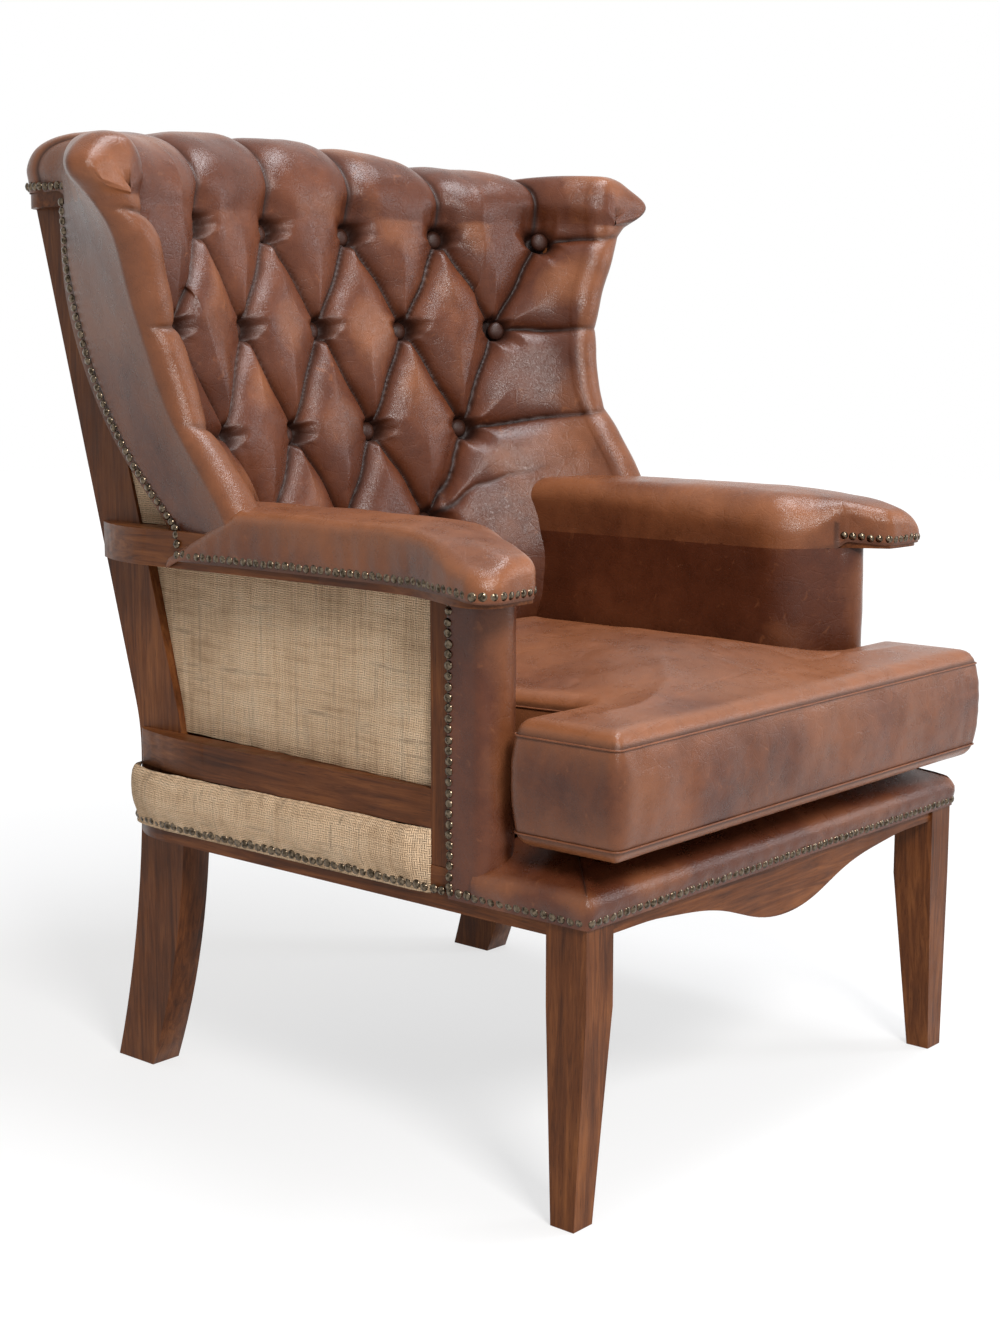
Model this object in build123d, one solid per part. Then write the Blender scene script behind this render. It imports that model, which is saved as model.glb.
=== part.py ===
from build123d import *
from math import atan2, cos, pi, radians, sin, sqrt, tan
import os

# A wingback armchair with a show-wood frame, a deep-buttoned leather back, loose T seat cushion and hessian
# left bare on the outside. Lengths are in millimetres and angles in degrees.
# While it is modelled, X is across the chair, Y runs from the front face of the seat frame to the rear,
# and Z is up from the floor. Left and right are those of someone who looks at the chair's front.

# Fits
seat_gap = 0.3  # between a pad, cover or panel and the piece that carries it
slot_gap = 1.0  # round the wing board, whose sides are curved
joint_gap = 0.2  # all round a tenon, dowel or screw
cut_over = 5.0  # how far a cut runs past the face that it opens
leather = 3.0  # leather with the thin wadding under it
hessian = 2.5
hessian_recess = 12.0  # outside arm cloth behind the face of the rails, at its rear
hessian_puff = 11.0  # bulge of the cloth between the seat rail and the lower arm rail
hessian_puff_shares = ((0.0, 0.0), (0.15, 0.1), (0.4, 0.85), (0.65, 1.0), (0.87, 0.75), (1.0, 0.0))

# Seat frame
frame_half = 337.0  # from the middle to the outer face of a side rail
rail_thick = 27.0
rail_height = 42.0
frame_top = 320.0
nail_drop = 21.5  # from the top of the seat frame down to the middle of the nail line
nail_cover = 7.5  # leather or hessian below the middle of a nail line
tenon_thick = 11.0
tenon_long = 20.0
tenon_shoulder = 6.0

# Front legs
leg_wide = 40.0
leg_deep = 48.0
leg_foot = 28.0
leg_taper_start = 210.0
leg_splay = 8.0  # the foot stands this far outside the rail's face
leg_foot_back = 7.0

# Front rail with its serpentine apron
apron_back = 3.0  # behind the front faces of the legs
apron_drop = 44.0
apron_shares = ((0.2, 0.8), (0.34, 0.48), (0.5, 0.22), (0.7, 0.06), (0.86, 0.0))

# Back posts, each one piece with its sabre leg
post_thick = 38.0
post_waist_y = 658.0  # rear edge where it stands upright
post_waist_z = 370.0
post_deep = 70.0
post_front_straight = 40.0
post_rake = 15.5
post_bend = 200.0
post_foot_kick = 55.0
post_foot_deep = 60.0
foot_round = 5.0

# Rear and lower rails
rear_rail_inset = 8.0  # from the rear edge of the posts
rear_rail_thick = 26.0
lower_rail_foot = 356.0
lower_rail_height = 39.0
side_rail_turn = 69.0  # length over which a side rail rounds in to the post
lower_rail_turn = 130.0
lower_rail_nose = 10.0
rail_end_inset = 6.0  # from the rear edge of the post to a rail's rounded end

# Arms
arm_post_front = 126.0
arm_post_rear = 192.0
arm_board_foot = 583.0
arm_board_thick = 39.0
arm_board_over = 12.0  # the straight part of the arm board stands this far outside the frame
arm_board_wide = 109.0
paddle_tip = 76.0
paddle_flare = 40.0
paddle_start = 330.0
paddle_corner = 24.0
paddle_flare_shares = ((0.7, 0.06), (0.45, 0.26), (0.24, 0.74))
paddle_inner_back = 21.0  # the front edge falls back this far at its inner end
arm_turn = 116.0
arm_board_nose = 12.0
arm_board_fall = 24.0  # the board's top is this much lower at the tip
arm_reveal = 8.0  # bare wood below the arm's leather
arm_pad_rise = 26.0  # above the board
arm_pad_fall = 38.0  # the pad's top is this much lower at the tip
arm_fall_start = 200.0
arm_pad_round = 10.0
arm_inner_round = 12.0
arm_pad_over = 5.0  # the inner face of the arm stuffing is this far inside the board
stump_front = 109.0  # nose of the stuffing round the arm post
stump_nose_in = 28.0  # from the outer skin in to the nose
stump_shoulder = 16.0  # the outer side starts this far behind the nose
stump_cheek = 62.0  # and the inner face this far
stump_nail_line = 170.0
stump_nose_round = 20.0
stump_shoulder_round = 16.0
stump_cheek_round = 60.0

# Seat platform and cushion
deck_top = 350.0
lip_round = 22.0
cushion_front = -30.0
cushion_inset = 7.0  # the front of the cushion is narrower than the frame
cushion_ear_rear = 98.0
cushion_neck_gap = 23.0  # from the inner face of the arm
cushion_side_gap = 7.0
cushion_body_start = 230.0
cushion_corner_y = 540.0
cushion_rear = 566.0
cushion_corner = 24.0
cushion_ear_corner = 18.0
cushion_notch = 28.0
cushion_rear_corner = 40.0
cushion_rear_bow = 260.0
cushion_seam_low = 368.0
cushion_seam_high = 460.0
cushion_bulge = 4.0
cushion_edge_rise = 17.0
cushion_edge_inset = 22.0
cushion_crown = 42.0
cushion_band_shares = ((0.0, 0.0), (0.25, 1.0), (0.75, 1.0), (1.0, 0.0))
cushion_edge_shares = ((0.0, 0.0), (0.6, 0.3), (1.0, 1.0))
cushion_crown_shares = ((0.0, 1.0), (0.45, 0.8), (0.8, 0.5), (1.0, 0.15))
cushion_under = 17.5

# Crest
crest_foot = 965.0
crest_thick = 20.0
crest_front = 714.0
crest_rear = 828.0
crest_end_inset = 2.0  # from the outer face of the frame
crest_corner = 48.0
crest_bow = 5.0
crest_top = 1063.0
crest_skirt = 15.0  # leather starts this far above the crest rail's underside
crest_overhang = 8.0
crest_lean = 28.0
crest_front_share = 0.5
crest_rear_share = 0.8
crest_middle_shares = (0.0, 0.25, 0.5, 0.75, 1.0)
crest_side_shares = (0.35, 0.7)
crest_inner_angles = (195.0, 215.0, 240.0, 262.0)
crest_rear_shares = (0.0, 0.22, 0.42, 0.6, 0.76, 0.88)
crest_corner_shares = (0.65,)
crest_outer_shares = (0.15, 0.5, 0.85)
crest_outer_angles = (345.0,)
crest_rise_shares = (1.0, 0.997, 0.985, 0.96, 0.92, 0.87, 0.8, 0.74, 0.68, 0.6, 0.45)
crest_lean_shares = (0.0, 0.0, 0.0, 0.0, 0.0, 0.0, 0.1, 0.3, 0.6, 0.9, 1.0)

# Back pad
back_centre_y = 630.0  # front of the back pad at the arm board, in the middle
back_rake = 10.0
back_hollow = 640.0  # radius of the hollow across the back
back_depth = 32.0  # from the rear edge of the posts to the rear of the pad
tuft_depth = 24.0
tuft_width = 38.0
button_radius = 11.0
button_thick = 9.0
button_pocket = 4.0
button_pitch = 131.0
button_rows = ((950.0, 6), (836.0, 5), (714.0, 4), (600.0, 3))
tuft_foot = 490.0
tuft_head_rise = 75.0
tuft_head_share = 0.1
wing_fold_share = 0.3
wing_fold_over_share = 2.2

# Wings, from the arm board's top to the crest rail's underside
wing_level_shares = (0.0, 0.11, 0.33, 0.55, 0.75, 0.93, 1.0)
wing_front_low = 440.0
wing_front_run = 106.0
wing_front_shares = (0.0, 0.2, 0.71, 0.94, 1.0, 0.96, 1.0)
wing_roll_inset = 10.0  # at the arm, from the outer face of the frame to the middle of the roll
wing_flare = 62.0
wing_flare_shares = (0.0, 0.05, 0.12, 0.25, 0.5, 0.82, 1.0)
wing_roll_radius = 24.0
wing_roll_growth = 14.0
wing_growth_shares = (0.0, 0.03, 0.14, 0.3, 0.5, 0.86, 1.0)
wing_turn_low = 150.0
wing_turn_run = 100.0
wing_turn_shares = (0.0, 0.1, 0.4, 0.65, 0.85, 1.0, 1.0)
wing_sag_shares = (0.07, 0.08, 0.11, 0.14, 0.15, 0.15, 0.15)
wing_rear_low = 571.0
wing_rear_run = 167.0
wing_rear_shares = (0.0, 0.22, 0.617, 0.862, 0.98, 1.0, 1.0)
wing_board_thick = 24.0
wing_board_inside = 2.0  # from the outer face of the frame
wing_board_inset = 60.0  # from the front of the roll to the front edge of the board
wing_strip = 20.0  # bare wood behind the nail line
roll_start_angle = 195.0
roll_end_angle = 345.0

# Lower back pad, between the arms
lower_level_shares = (0.0, 0.3, 0.62, 1.0)
lower_side_drop = 84.0  # how far the pad's side comes forward of its middle
lower_side_shares = (0.1, 0.42, 0.98, 0.96)

# Webbing, blocks and small parts
web_wide = 50.0
web_thick = 1.7
web_lap = 14.0
seat_web_columns = 5
seat_web_rows = 5
back_web_columns = 4
back_web_rows = 4
block_reach = 62.0
block_height = 32.0
block_drop = 4.0
screw_radius = 2.5
screw_long = 62.0
screw_head = 5.0
screw_head_thick = 3.0
dowel_radius = 5.0
dowel_long = 26.0
dowel_out = 10.0
dowel_inset = 16.0
dowel_spread = 26.0
dust_cover_thick = 1.5
cloth_gap = 0.2  # between layers of webbing

# Places that follow from the sizes above
rail_in = frame_half - rail_thick
frame_foot = frame_top - rail_height
post_in = rail_in - post_thick
arm_out = frame_half + arm_board_over
arm_in = arm_out - arm_board_wide
arm_face = arm_in - arm_pad_over
cushion_half = frame_half - cushion_inset
cushion_neck = arm_face - cushion_neck_gap
cushion_body = arm_face - cushion_side_gap
crest_half = frame_half - crest_end_inset
wing_roll_low = frame_half - wing_roll_inset
wing_board_half = frame_half - wing_board_inside
nail_z = frame_top - nail_drop
skirt_foot = nail_z - nail_cover
lower_rail_top = lower_rail_foot + lower_rail_height
arm_board_top = arm_board_foot + arm_board_thick
crest_board_top = crest_foot + crest_thick
rake_run = tan(radians(post_rake))
back_slope = tan(radians(back_rake))
web_top = frame_top + cloth_gap + web_thick + cloth_gap + web_thick
pad_foot = web_top + seat_gap
bend_rise = post_bend * sin(radians(post_rake))
bend_run = post_bend - post_bend * cos(radians(post_rake))


def post_rear(z):
    """Rear edge of a back post at a height above its waist."""
    return post_waist_y + bend_run + (z - post_waist_z - bend_rise) * rake_run


def post_front(z):
    return post_rear(z) - post_deep


def block(x, y, z):
    """A box between two values along each axis."""
    size = [high - low for low, high in (x, y, z)]
    middle = [(low + high) / 2 for low, high in (x, y, z)]
    return Pos(*middle) * Box(*size)


def plate(outline, low, high, plane=Plane.XY):
    """An outline on a plane, extruded between two values along its normal."""
    face = make_face(outline)
    return extrude(plane.offset(low) * face, high - low)


def mirrored(piece):
    return piece.mirror(Plane.YZ)


def both(points):
    """Half an outline on the right, and its mirror image on the left."""
    return list(points) + [(-x, y) for x, y in reversed(points)]


def rod(start, direction, radius, length):
    plane = Plane(origin=start, z_dir=direction)
    return extrude(plane * Circle(radius), length)


def tenon(x, y, z):
    """A tongue, and the same tongue with clearance, which cuts its mortise."""
    tongue = block(x, y, z)
    grown = [(low - joint_gap, high + joint_gap) for low, high in (x, y, z)]
    return tongue, block(*grown)


# Joints of the seat frame. Each tongue belongs to a rail, and its mortise to a leg or post.
tenon_z = (frame_foot + tenon_shoulder, frame_top - tenon_shoulder)
leg_in = frame_half - leg_wide
front_tenon_y = apron_back + (rail_thick - tenon_thick) / 2
side_tenon_x = rail_in + (rail_thick - tenon_thick) / 2
front_tongue, front_mortise = tenon(
    (leg_in - cut_over, leg_in + tenon_long),
    (front_tenon_y, front_tenon_y + tenon_thick), tenon_z)
side_tongue, side_mortise = tenon(
    (side_tenon_x, side_tenon_x + tenon_thick), (leg_deep - tenon_long, leg_deep + cut_over), tenon_z)

rear_rail_y = (post_waist_y - rear_rail_inset - rear_rail_thick, post_waist_y - rear_rail_inset)
rear_tenon_y = (rear_rail_y[0] + rear_rail_y[1] - tenon_thick) / 2
rear_tongue, rear_mortise = tenon(
    (post_in - cut_over, post_in + tenon_long), (rear_tenon_y, rear_tenon_y + tenon_thick), tenon_z)
lower_tenon_z = (lower_rail_foot + tenon_shoulder, lower_rail_top - tenon_shoulder)
lower_back_tongue, lower_back_mortise = tenon(
    (post_in - cut_over, post_in + tenon_long), (rear_tenon_y, rear_tenon_y + tenon_thick), lower_tenon_z)

arm_post_mid = (arm_post_front + arm_post_rear) / 2
arm_post_x = (side_tenon_x, side_tenon_x + tenon_thick)
arm_post_y = (arm_post_mid - tenon_long, arm_post_mid + tenon_long)
foot_tongue, foot_mortise = tenon(
    arm_post_x, arm_post_y, (frame_top - tenon_long, frame_top + cut_over))
arm_tongue, arm_mortise = tenon(
    arm_post_x, arm_post_y, (arm_board_foot - cut_over, arm_board_foot + tenon_long))
lower_arm_tongue, lower_arm_mortise = tenon(
    arm_post_x, (arm_post_rear - tenon_long, arm_post_rear + cut_over), lower_tenon_z)
crest_tenon_y = post_rear(crest_foot) - post_deep / 2
crest_tongue, crest_mortise = tenon(
    (post_in + tenon_shoulder, rail_in - tenon_shoulder),
    (crest_tenon_y - tenon_thick, crest_tenon_y + tenon_thick),
    (crest_foot - cut_over, crest_foot + crest_thick / 2))


def dowel_places():
    """Where dowels run from inside a post out into the three rails that lap its outer face."""
    places = []
    for foot, top in ((frame_foot, frame_top), (lower_rail_foot, lower_rail_top),
                      (arm_board_foot, arm_board_top)):
        z = (foot + top) / 2
        front = post_waist_y - post_deep if z < post_waist_z + bend_rise else post_front(z)
        places += [(front + dowel_inset, z), (front + dowel_inset + dowel_spread, z)]
    return places


def dowel(y, z, gap):
    start = rail_in + dowel_out - dowel_long - gap
    return rod((start, y, z), (1, 0, 0), dowel_radius + gap, dowel_long + gap + gap)


dowel_holes = [dowel(y, z, joint_gap) for y, z in dowel_places()]


def corner_screws(gap, sunk):
    """A screw through each front block into its leg, and through each rear block into the rear rail."""
    z = frame_top - block_drop - block_height / 2
    middle = block_reach / 2
    inward = Vector(1, -1, 0).normalized()
    front = Vector((leg_in + rail_in) / 2 - middle, (apron_back + rail_thick + leg_deep) / 2 + middle, z)
    front += inward * screw_head
    front_screw = rod(front, inward, screw_radius + gap, screw_long + gap)
    front_screw += rod(front + inward * gap, -inward, screw_head + gap, screw_head_thick + sunk)
    rear = Vector(post_in - middle - screw_radius, rear_rail_y[0] - middle + screw_head, z)
    long = rear_rail_y[1] - tenon_shoulder - rear.Y
    across = Vector(0, 1, 0)
    rear_screw = rod(rear, across, screw_radius + gap, long + gap)
    rear_screw += rod(rear + across * gap, -across, screw_head + gap, screw_head_thick + sunk)
    return front_screw, rear_screw


front_screw, rear_screw = corner_screws(0, 0)
front_screw_hole, rear_screw_hole = corner_screws(joint_gap, block_reach)


def front_leg():
    """Square leg, straight down to its shoulder line, then tapered and splayed to a small foot."""
    top = Pos(leg_in + leg_wide / 2, leg_deep / 2) * Rectangle(leg_wide, leg_deep)
    foot_x = frame_half + leg_splay - leg_foot / 2
    foot_y = leg_foot_back + leg_foot / 2
    foot = Pos(foot_x, foot_y) * Rectangle(leg_foot, leg_foot)
    taper = loft([foot, Plane.XY.offset(leg_taper_start) * top], ruled=True)
    upper = extrude(Plane.XY.offset(leg_taper_start) * top, frame_top - leg_taper_start)
    return upper + taper - front_mortise - side_mortise - front_screw_hole


def front_seat_rail():
    """Rail between the front legs, its lower edge cut to a serpentine that drops in the middle."""
    curve = [(0, frame_foot - apron_drop)]
    curve += [(leg_in * along, frame_foot - apron_drop * drop) for along, drop in apron_shares]
    edge = Spline(curve, tangents=[(1, 0), (1, 0)])
    end = curve[-1]
    outline = Curve() + [edge, Polyline(end, (leg_in, frame_foot), (leg_in, frame_top), (0, frame_top), curve[0])]
    half = plate(outline, -apron_back - rail_thick, -apron_back, Plane.XZ)
    half += front_tongue
    return half + mirrored(half)


def lap_face(start_y, end_y, half, end_out, turn, nose):
    """Plan of a rail or cloth that laps the post's outer face and rounds in to it at the rear."""
    round_start = (half, end_y - turn)
    nose_start = (rail_in + end_out, end_y - nose)
    turn_in = TangentArc(round_start, nose_start, tangent=(0, 1))
    return make_face(Curve() + [
        Line((half, start_y), round_start), turn_in,
        TangentArc(nose_start, (rail_in, end_y), tangent=turn_in % 1),
        Polyline((rail_in, end_y), (rail_in, start_y), (half, start_y))])


def lap_rail(start_y, end_y, end_out, turn, nose, foot, top):
    return extrude(Plane.XY.offset(foot) * lap_face(start_y, end_y, frame_half, end_out, turn, nose), top - foot)


def side_board():
    return lap_rail(leg_deep, post_waist_y, rail_end_inset, side_rail_turn, lower_rail_nose / 2,
                    frame_foot, frame_top)


def side_seat_rail():
    return side_board() + side_tongue - foot_mortise - dowel_holes


def lower_arm_rail():
    end = post_waist_y - rail_end_inset
    rail = lap_rail(arm_post_rear, end, lower_rail_nose, lower_rail_turn, lower_rail_nose,
                    lower_rail_foot, lower_rail_top)
    return rail + lower_arm_tongue - dowel_holes


def post_outline():
    """Side view of a post: a sabre leg below, an upright stretch at the seat and a raked back above."""
    foot_rear = (post_waist_y + post_foot_kick, 0)
    waist_rear = (post_waist_y, post_waist_z)
    bend_rear = (post_waist_y + bend_run, post_waist_z + bend_rise)
    top_rear = (post_rear(crest_foot), crest_foot)
    top_front = (post_front(crest_foot), crest_foot)
    bend_front = (bend_rear[0] - post_deep, bend_rear[1])
    waist_front = (post_waist_y - post_deep, post_waist_z)
    leg_front = (waist_front[0], post_waist_z - post_front_straight)
    foot_front = (foot_rear[0] - post_foot_deep, 0)
    return Curve() + [
        TangentArc(waist_rear, foot_rear, tangent=(0, -1)), TangentArc(waist_rear, bend_rear, tangent=(0, 1)),
        Polyline(bend_rear, top_rear, top_front, bend_front),
        TangentArc(waist_front, bend_front, tangent=(0, 1)), Line(waist_front, leg_front),
        TangentArc(leg_front, foot_front, tangent=(0, -1)), Line(foot_front, foot_rear)]


def back_post():
    post = plate(post_outline(), post_in, rail_in, Plane.YZ)
    post += crest_tongue
    return post - rear_mortise - lower_back_mortise - dowel_holes


def rear_seat_rail():
    rail = block((-post_in, post_in), rear_rail_y, (frame_foot, frame_top))
    holes = rear_screw_hole + mirrored(rear_screw_hole)
    return rail + rear_tongue + mirrored(rear_tongue) - holes


def lower_back_rail():
    rail = block((-post_in, post_in), rear_rail_y, (lower_rail_foot, lower_rail_top))
    return rail + lower_back_tongue + mirrored(lower_back_tongue)


def arm_post():
    post = block((rail_in, frame_half), (arm_post_front, arm_post_rear), (frame_top, arm_board_foot))
    return post + foot_tongue + arm_tongue - lower_arm_mortise


def arm_outline(grow):
    """Plan of the arm board, or of its leather when grown: a paddle in front and a rounded end at the rear."""
    length = paddle_start - paddle_tip
    tip_out = arm_out + paddle_flare
    flare = [(arm_out + grow, paddle_start)]
    flare += [(arm_out + grow + paddle_flare * out, paddle_tip + length * along)
              for along, out in paddle_flare_shares]
    flare += [(tip_out + grow, paddle_tip + paddle_corner)]
    tip = (tip_out + grow - paddle_corner, paddle_tip - grow)
    inner_tip = (arm_in - grow, paddle_tip + paddle_inner_back - grow)
    return flare, tip, inner_tip


def arm_board():
    flare, tip, inner_tip = arm_outline(0)
    end_z = (arm_board_foot + arm_board_top) / 2
    end_y = post_rear(end_z) - rail_end_inset
    lap_front = post_front(arm_board_top) - seat_gap
    turn_start = (arm_out, end_y - arm_turn)
    nose_start = (rail_in + arm_board_nose, end_y - arm_board_nose)
    turn_in = TangentArc(turn_start, nose_start, tangent=(0, 1))
    front_edge = ThreePointArc(
        tip, ((tip[0] + inner_tip[0]) / 2, tip[1] + paddle_inner_back / 4), inner_tip)
    outline = Curve() + [
        Spline(flare, tangents=[(0, -1), (0, -1)]),
        RadiusArc(flare[-1], tip, paddle_corner), front_edge,
        Polyline(inner_tip, (arm_in, lap_front - rail_thick), (rail_in, lap_front - rail_thick), (rail_in, end_y)),
        TangentArc(nose_start, (rail_in, end_y), tangent=turn_in % 1), turn_in,
        Line(turn_start, flare[0])]
    board = plate(outline, arm_board_foot, arm_board_top)
    return board - plate(board_fall(), arm_in - cut_over, arm_out + paddle_flare + cut_over, Plane.YZ)


def board_fall():
    """Side view of what is cut from the top of the arm board towards its tip."""
    front = paddle_tip - cut_over
    fall = TangentArc((arm_fall_start, arm_board_top), (front, arm_board_top - arm_board_fall), tangent=(-1, 0))
    over = arm_board_top + cut_over
    return Curve() + [
        fall, Polyline((front, arm_board_top - arm_board_fall), (front, over), (arm_fall_start, over),
                       (arm_fall_start, arm_board_top))]


def arm_rail():
    return arm_board() - arm_mortise - dowel_holes


def seam_profile(gap):
    """Side view of the arm's leather: a slope in front, and at the rear the seam with the wing's leather."""
    foot = arm_board_foot - cut_over
    top = arm_board_top + arm_pad_rise + gap
    front = paddle_tip - leather - cut_over
    rear = wing_rear_low - wing_strip + gap
    seam_front = wing_front_low + wing_roll_radius / 2 + gap
    fall = TangentArc((arm_fall_start, top), (front, top - arm_pad_fall), tangent=(-1, 0))
    return Curve() + [
        Polyline((front, foot), (rear, foot), (rear, arm_board_top), (seam_front, top), (arm_fall_start, top)),
        fall, Line((front, top - arm_pad_fall), (front, foot))]


def top_edges(pad):
    """Edges of the arm pad's top that run along the arm or round its tip."""
    edges = [e for e in pad.edges() if e.center().Z > arm_board_foot + arm_reveal + leather]
    edges = [e for e in edges
             if abs(e.tangent_at(1 / 2).Z) < abs(e.tangent_at(1 / 2).Y) or e.center().Y < arm_post_front]
    return [e for e in edges if abs(e.tangent_at(1 / 2).Z) < 1 / 2
            and (e.geom_type != GeomType.LINE or abs(e.tangent_at(0).X) < 1 / 2)]


def arm_pad():
    """Leather and wadding over the arm board, lower towards the tip."""
    flare, tip, inner_tip = arm_outline(leather)
    rear = wing_rear_low
    inner_tip = (arm_face, inner_tip[1])
    front_edge = ThreePointArc(
        tip, ((tip[0] + inner_tip[0]) / 2, tip[1] + paddle_inner_back / 4), inner_tip)
    outline = Curve() + [
        Spline(flare, tangents=[(0, -1), (0, -1)]),
        RadiusArc(flare[-1], tip, paddle_corner), front_edge,
        Polyline(inner_tip, (arm_face, rear), (arm_out + leather, rear), flare[0])]
    pad = plate(outline, arm_board_foot + arm_reveal, arm_board_top + arm_pad_rise)
    pad &= plate(seam_profile(0), arm_face - cut_over, arm_out + paddle_flare + cut_over, Plane.YZ)
    pad = fillet([e for e in top_edges(pad) if e.center().X < arm_in], arm_inner_round)
    pad = fillet([e for e in top_edges(pad) if e.center().X > arm_in], arm_pad_round)
    strip = block((arm_face, arm_in), (stump_front + stump_cheek, wing_rear_low - wing_strip),
                  (arm_board_foot, arm_board_foot + arm_reveal))
    return pad + strip - arm_board() - wing_slot()


def arm_profile(foot, top, start):
    """Side view from a start in front to the post's sloping front edge."""
    bend_z = post_waist_z + bend_rise
    rear = [(post_waist_y - post_deep - seat_gap, foot), (post_waist_y - post_deep - seat_gap, bend_z)]
    rear += [(post_front(top) - seat_gap, top)]
    return Polyline((start, foot), *rear, (start, top), close=True)


def outside_arm_hessian():
    """Cloth from behind the arm post to behind the front edge of the back post."""
    front_x = frame_half - leather - leather
    rear_x = rail_in - hessian_recess
    front = arm_post_rear + seat_gap
    rear = post_front(arm_board_foot) + cut_over
    sheet = plate(Polyline((front_x, front), (rear_x, rear), (rear_x - hessian, rear), (front_x - hessian, front),
                           close=True), lower_rail_top + seat_gap, arm_board_foot - seat_gap)
    shape = arm_profile(lower_rail_top, arm_board_foot, front)
    return sheet & plate(shape, rear_x - hessian - cut_over, front_x + cut_over, Plane.YZ)


def stump_outline(gap):
    """Plan of the stuffing inside the arm and round the front of its post: a rounded nose between two slopes."""
    skin = frame_half + leather
    board_line = rail_in - hessian_recess - hessian - seat_gap
    rear = post_front(arm_board_foot) + cut_over
    nose = stump_front - 2 * gap
    return FilletPolyline(
        (arm_face - gap, rear), (arm_face - gap, nose + stump_cheek), (skin - stump_nose_in, nose),
        (skin + gap, nose + stump_shoulder), (skin + gap, stump_nail_line),
        (rail_in - seat_gap, stump_nail_line), (rail_in - seat_gap, arm_post_rear), (board_line, rear),
        radius=[0, stump_cheek_round, stump_nose_round, stump_shoulder_round, 0, 0, 0, 0], close=True)


def inside_arm():
    """Stuffing and leather of the arm's inner face, wrapped round the front of the arm post."""
    skin = frame_half + leather
    pad = plate(stump_outline(0), pad_foot, arm_board_foot - seat_gap)
    shape = arm_profile(pad_foot, arm_board_foot, stump_front - cut_over)
    pad &= plate(shape, arm_face - cut_over, skin + cut_over, Plane.YZ)
    skirt = block((frame_half, skin), (stump_front + stump_shoulder, stump_nail_line), (skirt_foot, pad_foot))
    post_room = block((rail_in - seat_gap, frame_half), (arm_post_front, arm_post_rear), (frame_foot, arm_board_top))
    return pad + skirt - post_room


def hollow(x):
    """How far the back pad's front comes forward at a distance from the middle."""
    return back_hollow - sqrt(back_hollow * back_hollow - x * x)


def back_y(z):
    """Front of the back pad in the middle."""
    return back_centre_y + (z - arm_board_top) * back_slope


def wing_level(share):
    """The wing's shape at a level, taken from its tables or between two of their entries."""
    i = 0
    while i < len(wing_level_shares) - 2 and share > wing_level_shares[i + 1]:
        i += 1
    part = (share - wing_level_shares[i]) / (wing_level_shares[i + 1] - wing_level_shares[i])

    def table(shares):
        return shares[i] + (shares[i + 1] - shares[i]) * part

    z = arm_board_top + (crest_foot - arm_board_top) * share
    front = wing_front_low + wing_front_run * table(wing_front_shares)
    radius = wing_roll_radius + wing_roll_growth * table(wing_growth_shares)
    roll = Vector(wing_roll_low + wing_flare * table(wing_flare_shares), front + radius, z)
    rear = wing_rear_low + wing_rear_run * table(wing_rear_shares)
    turn_x = wing_turn_low + wing_turn_run * table(wing_turn_shares)
    turn = Vector(turn_x, back_y(z) - hollow(turn_x), z)
    return z, roll, radius, rear, turn, table(wing_sag_shares)


def around(centre, radius, angle):
    return centre + Vector(cos(radians(angle)), sin(radians(angle)), 0) * radius


def wing_side(share, along):
    """Point on the inside of a wing, from where the back turns forward to where the roll starts."""
    z, roll, radius, rear, turn, sag_share = wing_level(share)
    inner = around(roll, radius, roll_start_angle)
    chord = inner - turn
    sag = sag_share * along * (1 - along) / (1 / 4)
    return turn + chord * along + Vector(-chord.Y, chord.X, 0) * sag


def board_corners(share, gap):
    """Plan of the wing board at a level: outer rear, outer front, inner front and inner rear corners."""
    z, roll, radius, rear, turn, sag_share = wing_level(share)
    half = wing_board_thick / 2
    rear = Vector(wing_board_half - half, rear, z)
    front = Vector(roll.X, roll.Y - radius + wing_board_inset, z)
    along = (front - rear).normalized()
    out = Vector(-along.Y, along.X, 0) * (half + gap)
    rear -= along * gap
    front += along * gap
    return [rear + out, front + out, front - out, rear - out]


def wing_frame():
    """Show-wood board that carries the wing, flared outward towards the top."""
    return loft([make_face(Polyline(*board_corners(share, 0), close=True)) for share in wing_level_shares])


def wing_slot():
    return loft([make_face(Polyline(*board_corners(share, slot_gap), close=True)) for share in wing_level_shares])


def wing_section(share):
    """Plan of the back pad with both wings at one level."""
    z, roll, radius, rear, turn, sag_share = wing_level(share)
    inner = around(roll, radius, roll_start_angle)
    tip = around(roll, radius, (roll_start_angle + roll_end_angle) / 2)
    outer = around(roll, radius, roll_end_angle)
    rear_out, front_out, front_in, rear_in = board_corners(share, slot_gap)
    line = front_out - rear_out
    nail_in = rear_out + line * ((rear - wing_strip - rear_out.Y) / line.Y)
    nail_out = nail_in + Vector(leather, 0, 0)
    post_y = post_front(z) - seat_gap
    cloth_x = rail_in - hessian - hessian
    corners = [outer, nail_out, nail_in, rear_in, Vector(cloth_x, min(rear, post_y - hessian), z),
               Vector(cloth_x, post_y, z), Vector(post_in - seat_gap, post_y, z),
               Vector(post_in - seat_gap, post_rear(z) - back_depth, z)]
    right = [ThreePointArc(turn, wing_side(share, 1 / 2), inner), ThreePointArc(inner, tip, outer),
             Polyline(*corners)]
    left = [edge.mirror(Plane.YZ) for edge in right]
    far = corners[-1]
    front = ThreePointArc(Vector(-turn.X, turn.Y, z), Vector(0, back_y(z), z), turn)
    back = Line(far, Vector(-far.X, far.Y, z))
    return make_face(Curve() + [front, *right, back, *left])


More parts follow.
